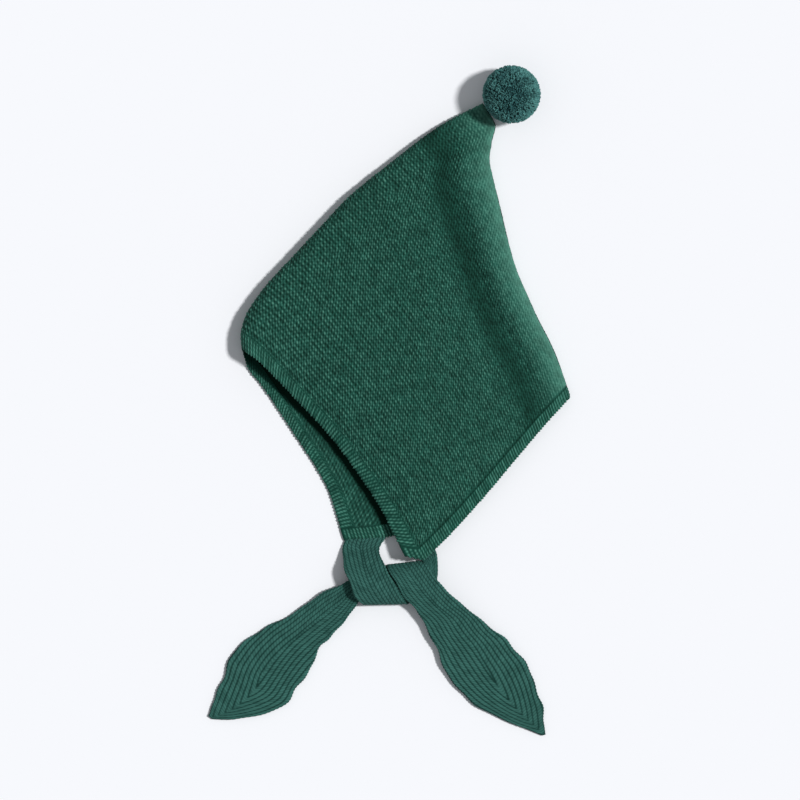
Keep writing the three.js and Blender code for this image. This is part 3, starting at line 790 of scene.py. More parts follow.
@dataclass
class Hood:
    """The garter knit body: outer skins in sections from face to back, and the inside."""

    lie: FoldedHood
    knitting: Knitting
    crown_ridges: float = 80.0
    neck_ridges: float = 64.0
    layer_stitches: float = 75.0
    relief: float = 0.95
    sections: tuple[float, ...] = (0.0, 24.0, 47.0, 80.0)
    ridge_samples: int = 5
    near_samples: int = 5
    far_samples: int = 2
    inside_ridge_samples: int = 3
    inside_samples: int = 2
    band_lap: float = 0.2
    sag: float = 0.12
    # The back seam's width, where the relief flattens and painted light brightens its flank, then
    # the painted shade of a valley in from the seam and painted light on the front and low cloth.
    seam_ridges: float = 9.0
    valley_ridge: float = 14.0
    valley_width: float = 3.5
    valley_shade: float = 0.5
    front_ridges: float = 22.0
    open_light: float = 0.06
    ridge_heading: float = 40.0
    ridge_density: float = 0.302
    denser_back: float = 0.18
    denser_neck: float = 0.25
    pieces: list[bpy.types.Object] = field(default_factory=list)

    def last_ridge(self, stitches: np.ndarray) -> np.ndarray:
        """The ridge at which the back seam crosses each stitch line."""
        share = np.abs(stitches) / self.layer_stitches
        return self.crown_ridges + (self.neck_ridges - self.crown_ridges) * share

    def place(self, inset: float) -> Place:
        """Where the cloth of ridges and stitches lies, at a depth below the outer skin.

        Args:
            inset: Depth below the outer skin, in millimetres.

        Returns:
            The function that lays ridges and stitches.
        """
        lie = self.lie

        def laid(ridges: np.ndarray, stitches: np.ndarray) -> Points:
            """Lay ridges and stitches on the folded hood.

            Args:
                ridges: Ridge lines of the grid.
                stitches: Stitch lines of the grid, below 0 on the far layer.

            Returns:
                Points in the forehead's frame.
            """
            share = np.abs(stitches) / self.layer_stitches
            near = stitches >= 0
            lengths = [lie.row_length(layer, share) for layer in (Layer.NEAR, Layer.FAR)]
            start = (lie.face_band_width - self.band_lap) / np.where(near, *lengths)
            s = start + (1 - start) * np.clip(ridges / self.last_ridge(stitches), 0, 1)
            girths = [lie.half_girth(layer, s) for layer in (Layer.NEAR, Layer.FAR)]
            free = np.where(near, *girths) - lie.neck_band_width + self.band_lap
            reach = np.sign(stitches) * share * free
            return lie.cloth(s, reach, inset)

        return laid

    def knit_lines(
        self, ridges: np.ndarray, stitches: np.ndarray
    ) -> tuple[np.ndarray, np.ndarray]:
        """Ridge and stitch counts of the cloth, whose ridges run straight beside the face edge.

        Args:
            ridges: Ridge lines of the grid.
            stitches: Stitch lines of the grid, below 0 on the far layer.

        Returns:
            Counts of ridges from the face edge and of stitches from the crown.
        """
        place = self.place(0.0)
        from_edge = (place(ridges, stitches) - place(0 * ridges, stitches))[:, :2]
        down = np.abs(stitches) / self.layer_stitches
        denser = self.denser_back * ridges / self.crown_ridges + self.denser_neck * down
        density = self.ridge_density * (1 + denser)
        counted = from_edge @ heading(self.ridge_heading) * density
        return counted, stitches * (0.97 + 0.1 * down)

    def rise(self, ridges: np.ndarray, stitches: np.ndarray) -> Relief:
        """Garter relief with a soft unevenness of the whole cloth, and painted light and shade in
        its depth.

        Args:
            ridges: Ridge lines of the grid.
            stitches: Stitch lines of the grid, below 0 on the far layer.

        Returns:
            The relief of the outside.
        """
        counted, along = self.knit_lines(ridges, stitches)
        knit = self.knitting.garter(counted, along, self.relief)
        wave = np.sin(ridges * 0.21 + 1.3 * np.sin(stitches * 0.13)) * np.sin(stitches * 0.17 + 0.7)
        wave = wave + 0.5 * np.sin(ridges * 0.53 + stitches * 0.31)
        # Painted light and shade: the back seam's flank brightens, a valley in from it darkens, the
        # front and low cloth brighten, and the stitch ends by the neck band darken.
        back = np.clip(1 - (self.last_ridge(stitches) - ridges) / self.seam_ridges, 0, 1)
        ends = np.clip((self.layer_stitches - np.abs(stitches)) / 0.8, 0, 1)
        off_seam = self.last_ridge(stitches) - ridges
        valley = np.exp(-(((off_seam - self.valley_ridge) / self.valley_width) ** 2))
        low = np.clip((np.abs(stitches) / self.layer_stitches - 0.45) / 0.4, 0, 1)
        front = np.clip(1 - ridges / self.front_ridges, 0, 1)
        light = 1 - self.valley_shade * valley + self.open_light * np.maximum(low, front)
        depth = knit.depth * light
        depth = depth + (1.0 - depth) * (0.42 * back**0.5 + 0.4 * back**4)
        height = (knit.height * (1 - 0.6 * back**3) + self.sag * wave) * ends - 0.5 * (1 - ends)
        return Relief(height, depth * (0.25 + 0.75 * ends))

    def inner_rise(self, ridges: np.ndarray, stitches: np.ndarray) -> Relief:
        """The same knit from its other side, with the relief that the coarser grid can hold and
        painted shade past the near layer's face edge.

        Args:
            ridges: Ridge lines of the grid.
            stitches: Stitch lines of the grid, below 0 on the far layer.

        Returns:
            The relief of the inside.
        """
        counted, along = self.knit_lines(ridges, stitches)
        knit = self.knitting.garter(counted + 0.5, along, 0.5 * self.relief)
        # Painted shade: the inside darkens past the near layer's face edge.
        shade = self.lie.shade_inside(self.place(self.lie.wall)(ridges, stitches))
        return Relief(knit.height, knit.depth * shade)

    def build(self) -> list[bpy.types.Object]:
        """Knit the outer sections and the inside.

        Returns:
            The pieces, from the face to the back, the inside last.
        """
        limit = self.layer_stitches
        near_rows = np.linspace(0, limit, int(limit * self.near_samples) + 1)
        far_rows = np.linspace(-limit, 0, int(limit * self.far_samples) + 1)[:-1]
        rows = np.concatenate([far_rows, near_rows])
        drop = self.crown_ridges - self.neck_ridges
        seams = ((self.crown_ridges, 0.0, limit, drop), (self.crown_ridges, 0.0, limit, -drop))

        def outward(ridges: np.ndarray, stitches: np.ndarray) -> Points:
            """Up on the near layer and down on the far one."""
            return np.column_stack([0 * stitches, 0 * stitches, np.sign(stitches)])

        for number, (first, last) in enumerate(zip(self.sections, self.sections[1:]), 1):
            columns = np.linspace(first, last, int((last - first) * self.ridge_samples) + 1)
            cuts = seams if last > self.neck_ridges else ()
            skin = Cloth(
                f"hood_knit_{number}", columns, rows, self.place(0.0), self.rise, outward, cuts=cuts
            )
            self.pieces.append(skin.build(self.lie.shift))
        samples = int(self.crown_ridges * self.inside_ridge_samples)
        columns = np.linspace(0, self.crown_ridges, samples + 1)
        rows = np.linspace(-limit, limit, int(2 * limit * self.inside_samples) + 1)
        inside = Cloth(
            "hood_inside",
            columns,
            rows,
            self.place(self.lie.wall),
            self.inner_rise,
            lambda u, v: -outward(u, v),
            cuts=seams,
        )
        self.pieces.append(inside.build(self.lie.shift))
        return self.pieces

    def dress(self, yarn: YarnFinish) -> None:
        """Dress the body and work out each piece's flat cloth size.

        Args:
            yarn: Finish of the cloth.
        """
        material = yarn.material()
        spans = [*zip(self.sections, self.sections[1:]), (self.sections[0], self.sections[-1])]
        for piece, (first, last) in zip(self.pieces, spans):
            wear(piece, material, "hood")
            self.flat_size(first, last)

    def flat_size(self, first: float, last: float) -> tuple[float, float]:
        """Flat size of the cloth between two ridges, both layers opened out.

        Args:
            first: Ridge line at its face side.
            last: Ridge line at its back side.

        Returns:
            Width along the rows and length over the crown, in metres.
        """
        half_way = np.full(1, 0.5)
        middle = np.full(1, (first + last) / 2 / self.crown_ridges)
        rows = [float(self.lie.row_length(layer, half_way)[0]) for layer in Layer]
        girth = sum(float(self.lie.half_girth(layer, middle)[0]) for layer in Layer)
        width = (last - first) / self.crown_ridges * sum(rows) / len(rows)
        return width * MM, girth * MM


@dataclass
class Band:
    """A ribbed band round an opening, closed round its lip. Lengths are in millimetres."""

    name: str
    node: str
    lie: FoldedHood
    knitting: Knitting
    width: float
    rib_pitch: float
    near_run: float
    far_run: float
    cloth: Callable[[np.ndarray, np.ndarray, np.ndarray], Points]
    relief: float = 0.75
    courses: float = 0.0
    course_pitch: float = 1.9
    loop_pitch: float = 2.1
    proud: float = 0.15
    inside_from: float = 1.0
    rib_samples: int = 6
    face_samples: int = 14
    lip_samples: int = 5
    piece: bpy.types.Object | None = None

    def section(self) -> np.ndarray:
        """The closed section: distance in from the edge and depth, once round, outside first.

        Returns:
            The section's points.
        """
        wall = self.lie.band_wall + 2 * self.proud
        lip = wall / 2
        flat = np.linspace(self.width, lip, self.face_samples + 1)
        turn = np.linspace(0, math.pi, self.lip_samples * 2 + 1)[1:-1]
        outer = np.column_stack([flat, np.full_like(flat, -self.proud)])
        depth = wall / 2 - self.proud - lip * np.cos(turn)
        round_lip = np.column_stack([lip - lip * np.sin(turn), depth])
        inner = np.column_stack([flat[::-1], np.full_like(flat, wall - self.proud)])
        back = np.column_stack([[self.width + 0.3] * 2, [0.6, wall - 2 * self.proud - 0.6]])[::-1]
        return np.concatenate([outer, round_lip, inner, back, outer[:1]])

    def build(self) -> bpy.types.Object:
        """Knit the band.

        Returns:
            The piece.
        """
        shape = self.section()
        turns = np.arange(len(shape), dtype=float)
        last = turns[-1]
        far_ribs = round(self.far_run / self.rib_pitch)
        near_ribs = round(self.near_run / self.rib_pitch)
        middle = self.lie.band_wall / 2

        def place(u: np.ndarray, v: np.ndarray) -> Points:
            """Lay the section's turns and the ribs along the opening.

            Args:
                u: Turns round the section.
                v: Ribs along the opening, below 0 on the far layer.

            Returns:
                Points in the forehead's frame.
            """
            around = np.mod(u, last)
            inward = np.interp(around, turns, shape[:, 0])
            depth = np.interp(around, turns, shape[:, 1])
            pitch = np.where(v < 0, self.far_run / far_ribs, self.near_run / near_ribs)
            reach = np.clip(v * pitch, -self.far_run, self.near_run)
            left = np.minimum(self.near_run - reach, self.far_run + reach)
            close = np.sqrt(1 - np.clip(1 - left / middle, 0, 1) ** 2)
            return self.cloth(inward, reach, middle + (depth - middle) * close)

        def rise(u: np.ndarray, v: np.ndarray) -> Relief:
            """Ribs across the band, then courses along it by the body.

            Args:
                u: Turns round the section.
                v: Ribs along the opening, below 0 on the far layer.

            Returns:
                The relief.
            """
            inward = np.interp(np.mod(u, last), turns, shape[:, 0])
            ribs = self.knitting.rib(v, inward / self.loop_pitch, self.relief)
            left = np.minimum(near_ribs - v, far_ribs + v)
            fade = np.clip(left / 1.2, 0, 1) * np.clip((self.width + 0.25 - inward) / 0.8, 0, 1)
            height, depth = ribs.height, ribs.depth
            if self.courses > 0:
                course = (inward - self.width) / self.course_pitch
                along = self.knitting.garter(course, v, 0.8 * self.relief)
                share = np.clip((inward - (self.width - self.courses)) / 0.5, 0, 1)
                height = height * (1 - share) + along.height * share
                depth = depth * (1 - share) + along.depth * share
            # Painted shade: past the near layer's face edge the inner side of the far part darkens,
            # and the colour darkens towards the band's ends and its edge by the body.
            light = 1.0
            if self.inside_from < 1:
                turn = np.mod(u, last) / last
                shade = self.lie.shade_inside(place(u, v))
                light = np.where((v < 0.05 * near_ribs) & (turn > self.inside_from), shade, 1.0)
            return Relief(height * fade, depth * (0.4 + 0.6 * fade) * light)

        def away(u: np.ndarray, v: np.ndarray) -> Points:
            """From the other side of the section."""
            return place(u, v) - place(u + last / 2, v)

        rows = np.linspace(-far_ribs, near_ribs, (far_ribs + near_ribs) * self.rib_samples + 1)
        band = Cloth(self.name, turns, rows, place, rise, away, steps=(0.2, 0.05), closed=True)
        self.piece = band.build(self.lie.shift)
        return self.piece

    def dress(self, yarn: YarnFinish) -> None:
        """Dress the band.

        Args:
            yarn: Finish of the cloth.
        """
        wear(self.piece, yarn.material(), self.node)


def face_band(lie: FoldedHood, knitting: Knitting) -> Band:
    """The band round the face opening, which runs a little way under the neck band.

    Args:
        lie: The folded hood.
        knitting: The knit of the whole hat.

    Returns:
        The band, not yet built.
    """
    far, near = (lie.face_runs[layer] - lie.neck_band_width + BAND_LAP for layer in Layer)
    return Band(
        "face_band_ribs",
        "face_band",
        lie,
        knitting,
        lie.face_band_width,
        2.3,
        near,
        far,
        lie.face_cloth,
        courses=2.0,
        inside_from=0.4,
    )


def neck_band(lie: FoldedHood, knitting: Knitting) -> Band:
    """The band round the neck opening, from chin to chin.

    Args:
        lie: The folded hood.
        knitting: The knit of the whole hat.

    Returns:
        The band, not yet built.
    """
    nape = lie.flat_layers / 2 * (math.pi / 2 - 1)
    far, near = (lie.neck[layer].length + nape for layer in Layer)
    return Band(
        "neck_band_ribs",
        "neck_band",
        lie,
        knitting,
        lie.neck_band_width,
        2.05,
        near,
        far,
        lie.neck_cloth,
        face_samples=11,
    )


@dataclass(frozen=True)
class Station:
    """A strap's section: x and y in strap widths from the knot's centre, lift and tilt in knot
    heights, its width in strap widths, and the heading from its first edge to its second."""

    x: float
    y: float
    lift: float
    wide: float
    turn: float
    tilt: float = 0.0


def centripetal(points: np.ndarray, samples: int) -> np.ndarray:
    """Run a centripetal Catmull-Rom curve through points.

    Args:
        points: The points to pass.
        samples: How many samples each span gets.

    Returns:
        The curve's samples, with both ends.
    """
    padded = np.concatenate([2 * points[:1] - points[1:2], points, 2 * points[-1:] - points[-2:-1]])
    rows = []
    for a, b, c, d in zip(padded, padded[1:], padded[2:], padded[3:]):
        gaps = [max(float(np.linalg.norm(q - p)) ** 0.5, 1e-4) for p, q in ((a, b), (b, c), (c, d))]
        first = (b - a) / gaps[0] - (c - a) / (gaps[0] + gaps[1]) + (c - b) / gaps[1]
        second = (c - b) / gaps[1] - (d - b) / (gaps[1] + gaps[2]) + (d - c) / gaps[2]
        first, second = first * gaps[1], second * gaps[1]
        u = (np.arange(samples) / samples)[:, None]
        cubic = 2 * b - 2 * c + first + second
        square = -3 * b + 3 * c - 2 * first - second
        rows.append(b + first * u + square * u**2 + cubic * u**3)
    return np.concatenate([*rows, points[-1:]])


@dataclass(frozen=True)
class Knot:
    """The straps' common measures, and where the knot lies from the near chin, in millimetres."""

    strap_width: float = 25.0
    thickness: float = 2.5
    height: float = 13.0
    back: float = 4.8
    down: float = 20.4

    def centre(self, lie: FoldedHood) -> np.ndarray:
        """The knot's centre seen from above, in the forehead's frame."""
        return lie.chin[Layer.NEAR] - vector(self.back, self.down)


@dataclass
class Tie:
    """A strap with a leaf end: a ribbed ribbon through its sections."""

    name: str
    node: str
    lie: FoldedHood
    knitting: Knitting
    stations: tuple[Station, ...]
    root: Callable[[np.ndarray], Points] | None = None
    root_rows: float = 1.5
    knot: Knot = Knot()
    rib_pitch: float = 2.62
    stitch_pitch: float = 2.3
    relief: float = 0.6
    row_length: float = 0.5
    middle_blend: float = 0.6
    edge_wave: float = 0.6
    fan: float = 0.35
    crisp_leaf: float = 0.7
    face_samples: int = 104
    under_samples: int = 36
    piece: bpy.types.Object | None = None
    length: float = 0.0
    area: float = 0.0

    def edges(self) -> tuple[np.ndarray, np.ndarray]:
        """The strap's two edges, sampled densely and kept off the table.

        Returns:
            Points on the first edge and on the second.
        """
        knot = self.knot
        centre = knot.centre(self.lie)
        curves = []
        for side in (-1, 1):
            points = []
            for row in self.stations:
                middle = centre + knot.strap_width * vector(row.x, row.y)
                edge = middle + side * row.wide * knot.strap_width / 2 * heading(row.turn)
                rise = (row.lift - side * row.tilt / 2) * knot.height
                points.append([*edge, knot.thickness / 2 + rise])
            curve = centripetal(np.array(points), SPAN_SAMPLES)
            curve[:, 2] = np.maximum(curve[:, 2], knot.thickness / 2)
            curves.append(curve)
        return curves[0], curves[1]

    def build(self) -> bpy.types.Object:
        """Knit the strap.

        Returns:
            The piece.
        """
        first, second = self.edges()
        middle = (first + second) / 2
        half = (second - first) / 2
        ahead = unit(np.gradient(middle, axis=0))
        normal = unit(np.cross(ahead, half))
        facing = np.ones(len(normal))
        facing[0] = 1.0 if normal[0, 2] >= 0 else -1.0
        for k in range(1, len(normal)):
            same = float(np.dot(normal[k], normal[k - 1])) >= 0
            facing[k] = facing[k - 1] if same else -facing[k - 1]
        normal = normal * facing[:, None]
        travel = np.concatenate([[0], np.cumsum(np.linalg.norm(np.diff(middle, axis=0), axis=1))])
        widths = np.linalg.norm(half, axis=1)
        root_end = np.interp(self.root_rows * SPAN_SAMPLES, np.arange(len(travel)), travel)
        run_in = max(float(root_end), 1e-6)
        self.length = float(travel[-1])
        self.area = float(np.sum((widths[1:] + widths[:-1]) * np.diff(travel)))
        edge = self.knot.thickness / 2
        half_strap = self.knot.strap_width / 2
        widest = int(np.argmax(widths))
        before = np.arange(len(widths)) < widest
        broad = np.where(before, widths, widths[widest]) / half_strap
        stretch = np.where(broad < 1, broad, np.maximum(broad, 1) ** self.fan)
        ended = np.where(before, 0.0, widths[widest] - widths)

        def read(table: np.ndarray, v: np.ndarray) -> np.ndarray:
            """A table along the strap, read at distances from its root.

            Args:
                table: Values at the middle line's samples.
                v: Distance from the root, in millimetres.

            Returns:
                The values at the asked places.
            """
            v = np.clip(v, 0, self.length)
            if table.ndim == 1:
                return np.interp(v, travel, table)
            return np.column_stack([np.interp(v, travel, table[:, k]) for k in range(3)])

        def across(u: np.ndarray) -> tuple[np.ndarray, np.ndarray]:
            """Share across the strap from edge to edge, and which face it is on.

            Args:
                u: Turns round the strap, the upper face from 0 to 1.

            Returns:
                Shares from -1 to 1, and 1 on the upper face or -1 on the lower one.
            """
            around = np.mod(u, 2.0)
            top = around <= 1.0
            return np.where(top, 2 * around - 1, 3 - 2 * around), np.where(top, 1.0, -1.0)

        def place(u: np.ndarray, v: np.ndarray) -> Points:
            """Lay both faces of the strap.

            Args:
                u: Turns round the strap, the upper face from 0 to 1.
                v: Distance from the root, in millimetres.

            Returns:
                Points in the forehead's frame.
            """
            share, side = across(u)
            width = read(widths, v)
            off_edge = (1 - np.abs(share)) * width
            reached = np.clip(v, 0, self.length)
            off_end = np.minimum(reached, self.length - reached)
            thick = edge * np.sqrt(1 - np.clip(1 - off_edge / edge, 0, 1) ** 2)
            thick = thick * np.sqrt(1 - np.clip(1 - off_end / edge, 0, 1) ** 2)
            wave = 0.3 * np.sin(v * math.tau / 2.4) + np.sin(v / 5.1 + 2 * share)
            wave = wave + 0.7 * np.sin(v / 2.9 + share)
            grown = self.edge_wave * wave * np.clip(width / 9, 0, 1) / np.maximum(width, 1)
            grown = 1 + grown * share**4
            flat = read(middle, v) + (share * grown)[:, None] * read(half, v)
            if self.root is not None:
                line = middle[:1] + share[:, None] * half[:1]
                fade = np.clip(1 - np.clip(v, 0, self.length) / run_in, 0, 1)
                flat = flat + (self.root((share + 1) / 2) - line) * fade[:, None]
                flat[:, 2] = np.maximum(flat[:, 2], edge)
            return flat + (side * thick)[:, None] * unit(read(normal, v))

        def rise(u: np.ndarray, v: np.ndarray) -> Relief:
            """Ribs that fan out into the leaf, then follow its edges and end on the middle line.

            Args:
                u: Turns round the strap, the upper face from 0 to 1.
                v: Distance from the root, in millimetres.

            Returns:
                The relief.
            """
            share, _ = across(u)
            width = read(widths, v)
            from_middle = np.sqrt((share * width) ** 2 + self.middle_blend**2)
            ribs = (from_middle + read(ended, v)) / (self.rib_pitch * read(stretch, v))
            ribs = ribs + 0.1 * np.sin(v / 9.0 + 3 * share)
            side = np.where(share > 0, 1.0, -1.0)
            stagger = 0.45 * np.floor(ribs + 0.5) + 0.12 * np.sin(7.0 * np.floor(ribs + 0.5) + side)
            # crisp deepens the furrows and darkens their painted shade, most in the leaf
            crisp = np.clip((width / half_strap - 1) / self.crisp_leaf, 0, 1)
            along = v / self.stitch_pitch + stagger
            knit = self.knitting.wale(ribs + 100 * (side > 0), along, self.relief, crisp)
            off_edge = (1 - np.abs(share)) * width
            fade = np.clip(off_edge / 0.5, 0.35, 1) * np.clip((self.length - v) / 2.0, 0, 1)
            fade = fade * np.clip(v / 2.0, 0, 1)
            return Relief(knit.height * fade, knit.depth)

        def away(u: np.ndarray, v: np.ndarray) -> Points:
            """Up off the face that it lies on."""
            _, side = across(u)
            return side[:, None] * read(normal, v)

        top = 0.5 - 0.5 * np.cos(np.linspace(0, math.pi, self.face_samples + 1))
        top = 0.25 * top + 0.75 * np.linspace(0, 1, self.face_samples + 1)
        under = 1 + np.linspace(0, 1, self.under_samples + 1)[1:]
        rows = np.linspace(0, self.length, round(self.length / self.row_length) + 1)
        columns = np.concatenate([top, under])
        strap = Cloth(self.name, columns, rows, place, rise, away, steps=(0.002, 0.3), closed=True)
        self.piece = strap.build(self.lie.shift)
        return self.piece

    def dress(self, yarn: YarnFinish) -> None:
        """Dress the strap.

        Args:
            yarn: Finish of the cloth.
        """
        wear(self.piece, yarn.material(), self.node)


@dataclass
class Pompom:
    """A trimmed yarn ball: yarn ends that stand out of a round head."""

    diameter: float = 39.0
    head_depth: float = 1.5
    towards_hood: tuple[float, float, float] = (-0.4, -1.2, 0.0)
    ends: int = 4600
    end_radius: float = 0.5
    end_length: float = 3.6
    lean: float = 0.06
    piece: bpy.types.Object | None = None

    def centre(self) -> np.ndarray:
        """The ball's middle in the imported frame, in millimetres."""
        low, high = (np.array(corner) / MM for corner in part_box("pompom"))
        return (low + high) / 2 + np.array(self.towards_hood)

    @staticmethod
    def yarn_end() -> bmesh.types.BMesh:
        """One cut yarn end: a short tapered strand with a domed tip.

        Returns:
            The strand, one unit long.
        """
        strand = bmesh.new()
        bmesh.ops.create_cone(
            strand, segments=5, radius1=0.8, radius2=1.0, depth=1.0, cap_ends=True, cap_tris=False
        )
        tip = max(strand.faces, key=lambda face: face.calc_center_median().z)
        bmesh.ops.inset_region(strand, faces=[tip], thickness=0.45, depth=0.0)
        bmesh.ops.translate(strand, vec=(0, 0, 0.1), verts=tip.verts[:])
        return strand

    def build(self) -> bpy.types.Object:
        """Set every yarn end on the head.

        Returns:
            The piece.
        """
        chance = np.random.default_rng(SEED)
        centre = Vector((self.centre() * MM).tolist())
        radius = self.diameter / 2
        ball = bmesh.new()
        bmesh.ops.create_icosphere(
            ball,
            subdivisions=4,
            radius=(radius - self.head_depth) * MM,
            matrix=Matrix.Translation(centre),
        )
        depth = ball.verts.layers.float.new("depth")
        # Painted shade: the head between the yarn ends is dark.
        for vert in ball.verts:
            vert[depth] = 0.2
        template = self.yarn_end()
        scratch = bpy.data.meshes.new("yarn_end")
        golden = math.pi * (3 - math.sqrt(5))
        for number in range(self.ends):
            level = 1 - (2 * number + 1) / self.ends
            ring = math.sqrt(1 - level * level)
            round_way = golden * number
            out = Vector((ring * math.cos(round_way), ring * math.sin(round_way), level))
            lean = Vector(chance.normal(0, self.lean, 3).tolist())
            way = (out + lean).normalized()
            height = radius - 0.3 + float(np.clip(chance.normal(0, 0.3), -0.7, 0.5))
            wide = self.end_radius * chance.uniform(0.8, 1.2)
            turned = way.to_track_quat("Z", "Y").to_matrix().to_4x4()
            foot = centre + way * ((height - self.end_length / 2) * MM)
            spin = Matrix.Rotation(chance.uniform(0, math.tau), 4, "Z")
            scale = Matrix.Diagonal((wide * MM, wide * MM, self.end_length * MM, 1.0))
            strand = template.copy()
            shade = strand.verts.layers.float.new("depth")
            patch = math.sin(out.x * 5.1 + 1.9 * math.sin(out.y * 4.3))
            patch = patch * math.cos(out.y * 5.7 + out.z * 3.1)
            # Painted light: the ends round the ball's rim, seen from above, are brighter.
            rim = math.hypot(out.x, out.y) ** 3
            tone = 0.62 + 0.16 * patch + 0.25 * rim + chance.normal(0, 0.13)
            tone = float(np.clip(tone, 0.25, 1.0))
            # Painted shade: each end is darker at its root, deep in the ball.
            for vert in strand.verts:
                vert[shade] = 0.3 * tone if vert.co.z < 0 else tone
            place = Matrix.Translation(foot) @ turned @ spin @ scale
            bmesh.ops.transform(strand, matrix=place, verts=strand.verts[:])
            strand.to_mesh(scratch)
            strand.free()
            ball.from_mesh(scratch)
        for vert in ball.verts:
            vert.co.z = max(vert.co.z, YARN_CLEARANCE * MM)
        template.free()
        bpy.data.meshes.remove(scratch)
        self.piece = finish_body("pompom_yarn_ends", ball)
        return self.piece

    def dress(self, yarn: YarnFinish) -> None:
        """Dress the ball."""
        wear(self.piece, yarn.material(), "pompom")


@dataclass
class Binding:
    """The bound yarn neck between tip and pompom: a core with wraps of yarn round it."""

    wraps: int = 5
    yarn_radius: float = 0.75
    width: float = 9.0
    height: float = 6.6
    span: float = 7.5
    slant: float = 5.0
    heading: float = 42.0
    piece: bpy.types.Object | None = None

    def build(self) -> bpy.types.Object:
        """Spin the wraps and set the core.

        Returns:
            The piece.
        """
        low, high = (Vector(corner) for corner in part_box("pompom_tie"))
        middle = (low + high) / 2
        turned = Matrix.Rotation(math.radians(self.heading), 4, "Z")
        body = bmesh.new()
        width, height, span = self.width, self.height, self.span
        across = Matrix.Rotation(math.radians(90), 4, "Y")
        bmesh.ops.create_cone(
            body,
            segments=20,
            radius1=0.5,
            radius2=0.42,
            depth=1.0,
            cap_ends=True,
            matrix=Matrix.Translation(middle)
            @ turned
            @ across
            @ Matrix.Diagonal((height * 0.82 * MM, width * 0.82 * MM, span * MM, 1.0)),
        )
        for number in range(self.wraps):
            along = (number / (self.wraps - 1) - 0.5) * (span - 2 * self.yarn_radius)
            wrap = bmesh.new()
            ring = bmesh.ops.create_circle(wrap, segments=8, radius=self.yarn_radius * MM)
            upright = Matrix.Rotation(math.radians(90), 3, "X")
            bmesh.ops.rotate(wrap, cent=(0, 0, 0), matrix=upright, verts=ring["verts"])
            bmesh.ops.translate(wrap, vec=(width / 2 * 0.9 * MM, 0, 0), verts=ring["verts"])
            bmesh.ops.spin(
                wrap,
                geom=wrap.edges[:],
                cent=(0, 0, 0),
                axis=(0, 0, 1),
                angle=math.tau,
                steps=40,
                use_merge=True,
            )
            slant = Matrix.Rotation(math.radians((-1) ** number * self.slant), 4, "Y")
            place = (
                Matrix.Translation(middle)
                @ turned
                @ Matrix.Translation((along * MM, 0, 0))
                @ across
                @ slant
                @ Matrix.Diagonal((height / width, 1.0, 1.0, 1.0))
            )
            bmesh.ops.transform(wrap, matrix=place, verts=wrap.verts[:])
            bmesh.ops.remove_doubles(wrap, verts=wrap.verts[:], dist=1e-6)
            bmesh.ops.recalc_face_normals(wrap, faces=wrap.faces[:])
            held = bpy.data.meshes.new("wrap")
            wrap.to_mesh(held)
            wrap.free()
            body.from_mesh(held)
            bpy.data.meshes.remove(held)
        depth = body.verts.layers.float.new("depth")
        for vert in body.verts:
            vert.co.z = max(vert.co.z, YARN_CLEARANCE * MM)
            vert[depth] = 0.6
        self.piece = finish_body("pompom_binding", body)
        return self.piece

    def dress(self, yarn: YarnFinish) -> None:
        """Dress the binding."""
        wear(self.piece, yarn.material(), "pompom_tie")


FAR_STATIONS = tuple(
    Station(*row)
    for row in (
        (-0.99, 1.08, 0.02, 1.02, 0),
        (-0.96, 0.82, 0.33, 1.05, 0),
        (-0.86, 0.42, 0.83, 1.13, 1),
        (-0.67, 0.0, 1.0, 1.26, 1),
        (-0.47, -0.3, 0.83, 1.29, 2),
        (-0.32, -0.44, 0.4, 1.22, 1),
        (-0.27, -0.29, 0.03, 1.2, 1),
        (-0.05, 0.11, 0.02, 1.14, 3),
        (0.09, 0.42, 0.03, 1.04, 5),
        (0.13, 0.6, 0.4, 0.94, 7),
        (0.24, 0.5, 0.79, 1.04, 7),
        (0.5, 0.16, 0.97, 1.14, 5),
        (0.83, -0.27, 0.75, 1.19, 8),
        (1.1, -0.56, 0.54, 1.28, 6),
        (1.44, -0.87, 0.4, 1.48, 6, 0.04),
        (1.71, -1.25, 0.31, 1.65, 8, 0.06),
        (2.04, -1.66, 0.22, 1.9, 13, 0.09),
        (2.39, -2.2, 0.13, 2.07, 14, 0.08),
        (2.73, -2.72, 0.07, 1.94, 15, 0.04),
        (3.09, -3.18, 0.04, 1.58, 12, 0.01),
        (3.52, -3.63, 0.02, 0.92, 12),
        (3.81, -3.88, 0.01, 0.39, 14),
        (3.98, -4.04, 0.0, 0.09, 18),
    )
)
NEAR_STATIONS = tuple(
    Station(*row)
    for row in (
        (0.67, 1.01, 0.26, 0.74, 188),
        (0.78, 0.82, 0.26, 0.57, 185),
        (0.89, 0.6, 0.34, 0.4, 172),
        (0.9, 0.35, 0.42, 0.38, 154),
        (0.8, 0.15, 0.44, 0.56, 125),
        (0.57, 0.04, 0.44, 0.68, 110),
        (0.19, 0.03, 0.44, 0.68, 102),
        (-0.3, 0.03, 0.44, 0.66, 94),
        (-0.8, 0.01, 0.44, 0.62, 102),
        (-1.2, -0.1, 0.4, 0.64, 115),
        (-1.55, -0.41, 0.29, 0.85, 130),
        (-1.94, -0.72, 0.17, 1.08, 136),
        (-2.31, -1.01, 0.1, 1.15, 141),
        (-2.62, -1.27, 0.07, 1.3, 148),
        (-3.01, -1.6, 0.06, 1.7, 151),
        (-3.39, -2.01, 0.05, 1.95, 153),
        (-3.66, -2.39, 0.04, 2.0, 156),
        (-3.9, -2.82, 0.03, 1.86, 157),
        (-4.28, -3.19, 0.02, 1.4, 156),
        (-4.71, -3.45, 0.01, 0.8, 156),
        (-5.11, -3.56, 0.0, 0.14, 142),
    )
)


